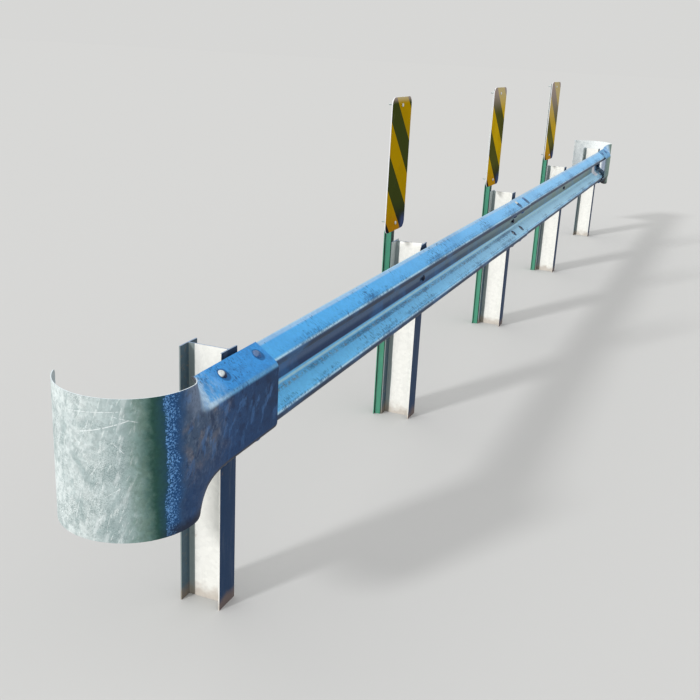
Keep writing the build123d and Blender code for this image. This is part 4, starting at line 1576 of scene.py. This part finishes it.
rng = np.random.default_rng(7)
grip = BOARD_SHEET + CHANNEL_SHEET + 2 * SEAT
board_bolt_shape = bolt_mesh("board_bolt_shape", BOARD_BOLT / 2, grip, BOARD_NUT_HEIGHT, BOARD_NUT_FLATS,
                             BOARD_BOLT_LENGTH - grip - BOARD_NUT_HEIGHT, BOARD_CROWN)
back = FIELD_FACE + CHANNEL_DEPTH - CHANNEL_SHEET / 2
seat = FIELD_FACE + CHANNEL_SHEET / 2
channel_line = [(-CHANNEL_HALF, back), (-CHANNEL_HALF + CHANNEL_LIP, back), (-WEB_HALF, seat),
                (WEB_HALF, seat), (CHANNEL_HALF - CHANNEL_LIP, back), (CHANNEL_HALF, back)]
channel_line = [Vector(point) for point in channel_line]
channel_reaches = fold_reaches(channel_line, [CHANNEL_BEND] * 4)
channel_ring = sheet_ring(channel_line, channel_reaches, CHANNEL_SHEET, CHANNEL_FOLD_STEPS)


def board_rings():
    """Rings of a board from its back to its front, the edges rounded over and a little ragged."""
    half = BOARD_WIDTH / 2
    middle = BOARD_HEIGHT / 2
    corners = ((half, 0), (half, BOARD_HEIGHT), (-half, BOARD_HEIGHT), (-half, 0))
    outline = rounded_ring([(x, y, BOARD_CORNER) for x, y in corners], BOARD_CORNER_STEPS)
    fine = []
    for point, after in zip(outline, outline[1:] + outline[:1]):
        steps = max(int((after - point).length / EDGE_STEP), 1)
        fine += [point.lerp(after, step / steps) for step in range(steps)]
    nicks = rng.random(len(fine)) * RAGGED
    rings = []
    for depth, inset in EDGE_ROUND + [(BOARD_SHEET - depth, inset) for depth, inset in EDGE_ROUND[::-1]]:
        ring = []
        for point, nick in zip(fine, nicks):
            rise = point.y - middle
            way = Vector((np.sign(point.x) * (abs(point.x) > half - EDGE_REACH),
                          np.sign(rise) * (abs(rise) > middle - EDGE_REACH)))
            moved = point - way * (inset + (nick if point.x > 0 else nick * CALM_SHARE))
            ring.append(Vector((moved.x, FIELD_FACE - depth, BOARD_FOOT + moved.y)))
        rings.append(ring)
    return rings


print("channel outline has", len(channel_ring), "points")

# %% Markers
MARKER_SHIFT = -0.032
MARKER_TURNS = (0.0, 3.0, 4.0)
CHANNEL_TOP = BOARD_TOP - 0.016
CHANNEL_STATIONS = 60
BOLT_INSET = 0.038
BOARD_HOLE = 0.011
BOARD_TINTS = [((168, 134, 8), (58, 66, 28), 0.05), ((190, 156, 18), (80, 80, 34), 0.28),
               ((190, 156, 40), (100, 96, 44), 0.65)]
rises = (BOARD_FOOT + BOLT_INSET, BOARD_TOP - BOLT_INSET)

for number, (place, turn, tints) in enumerate(zip(POST_PLACES[1:4], MARKER_TURNS, BOARD_TINTS), start=1):
    turn = radians(turn)
    middle = Vector((place + MARKER_SHIFT, FIELD_FACE + WEB_HALF * sin(turn), 0))
    stand = Matrix.Rotation(-turn, 4, "Z") @ Matrix.Translation((0, -FIELD_FACE, 0))
    stand = Matrix.Translation(middle) @ stand
    normal = (stand.to_3x3() @ Vector((0, -1, 0))).normalized()
    holes = [(stand @ Vector((0, FIELD_FACE, rise)), normal, BOARD_HOLE, BOARD_HOLE) for rise in rises]
    ring = [(stand @ Vector((*point, 0))).to_2d() for point in channel_ring]
    channel = roll(f"marker_post_{number}_rolled", ring, enamel, Start=0.0, Length=CHANNEL_TOP,
                   Stations=CHANNEL_STATIONS)
    punched(channel, holes)
    hand_over(channel, "marker_post_paint", f"marker_post_{number}")
    rings = [[stand @ point for point in ring] for ring in board_rings()]
    board = stacked(f"marker_panel_{number}_board", rings)
    board.data.materials.append(board_finish(f"board_{number}_sheeting", middle, turn, *tints))
    punched(board, holes)
    hand_over(board, "marker_sheet", f"marker_panel_{number}")
    spots = [(stand @ Vector((0, FIELD_FACE - BOARD_SHEET - SEAT, rise)), normal) for rise in rises]
    set_bolts(f"marker_bolts_{number}_turned", board_bolt_shape, spots, board_bolt, "marker_bolt_zinc",
              f"marker_bolts_{number}", 40 + number)
bpy.data.objects.remove(board_bolt_shape)
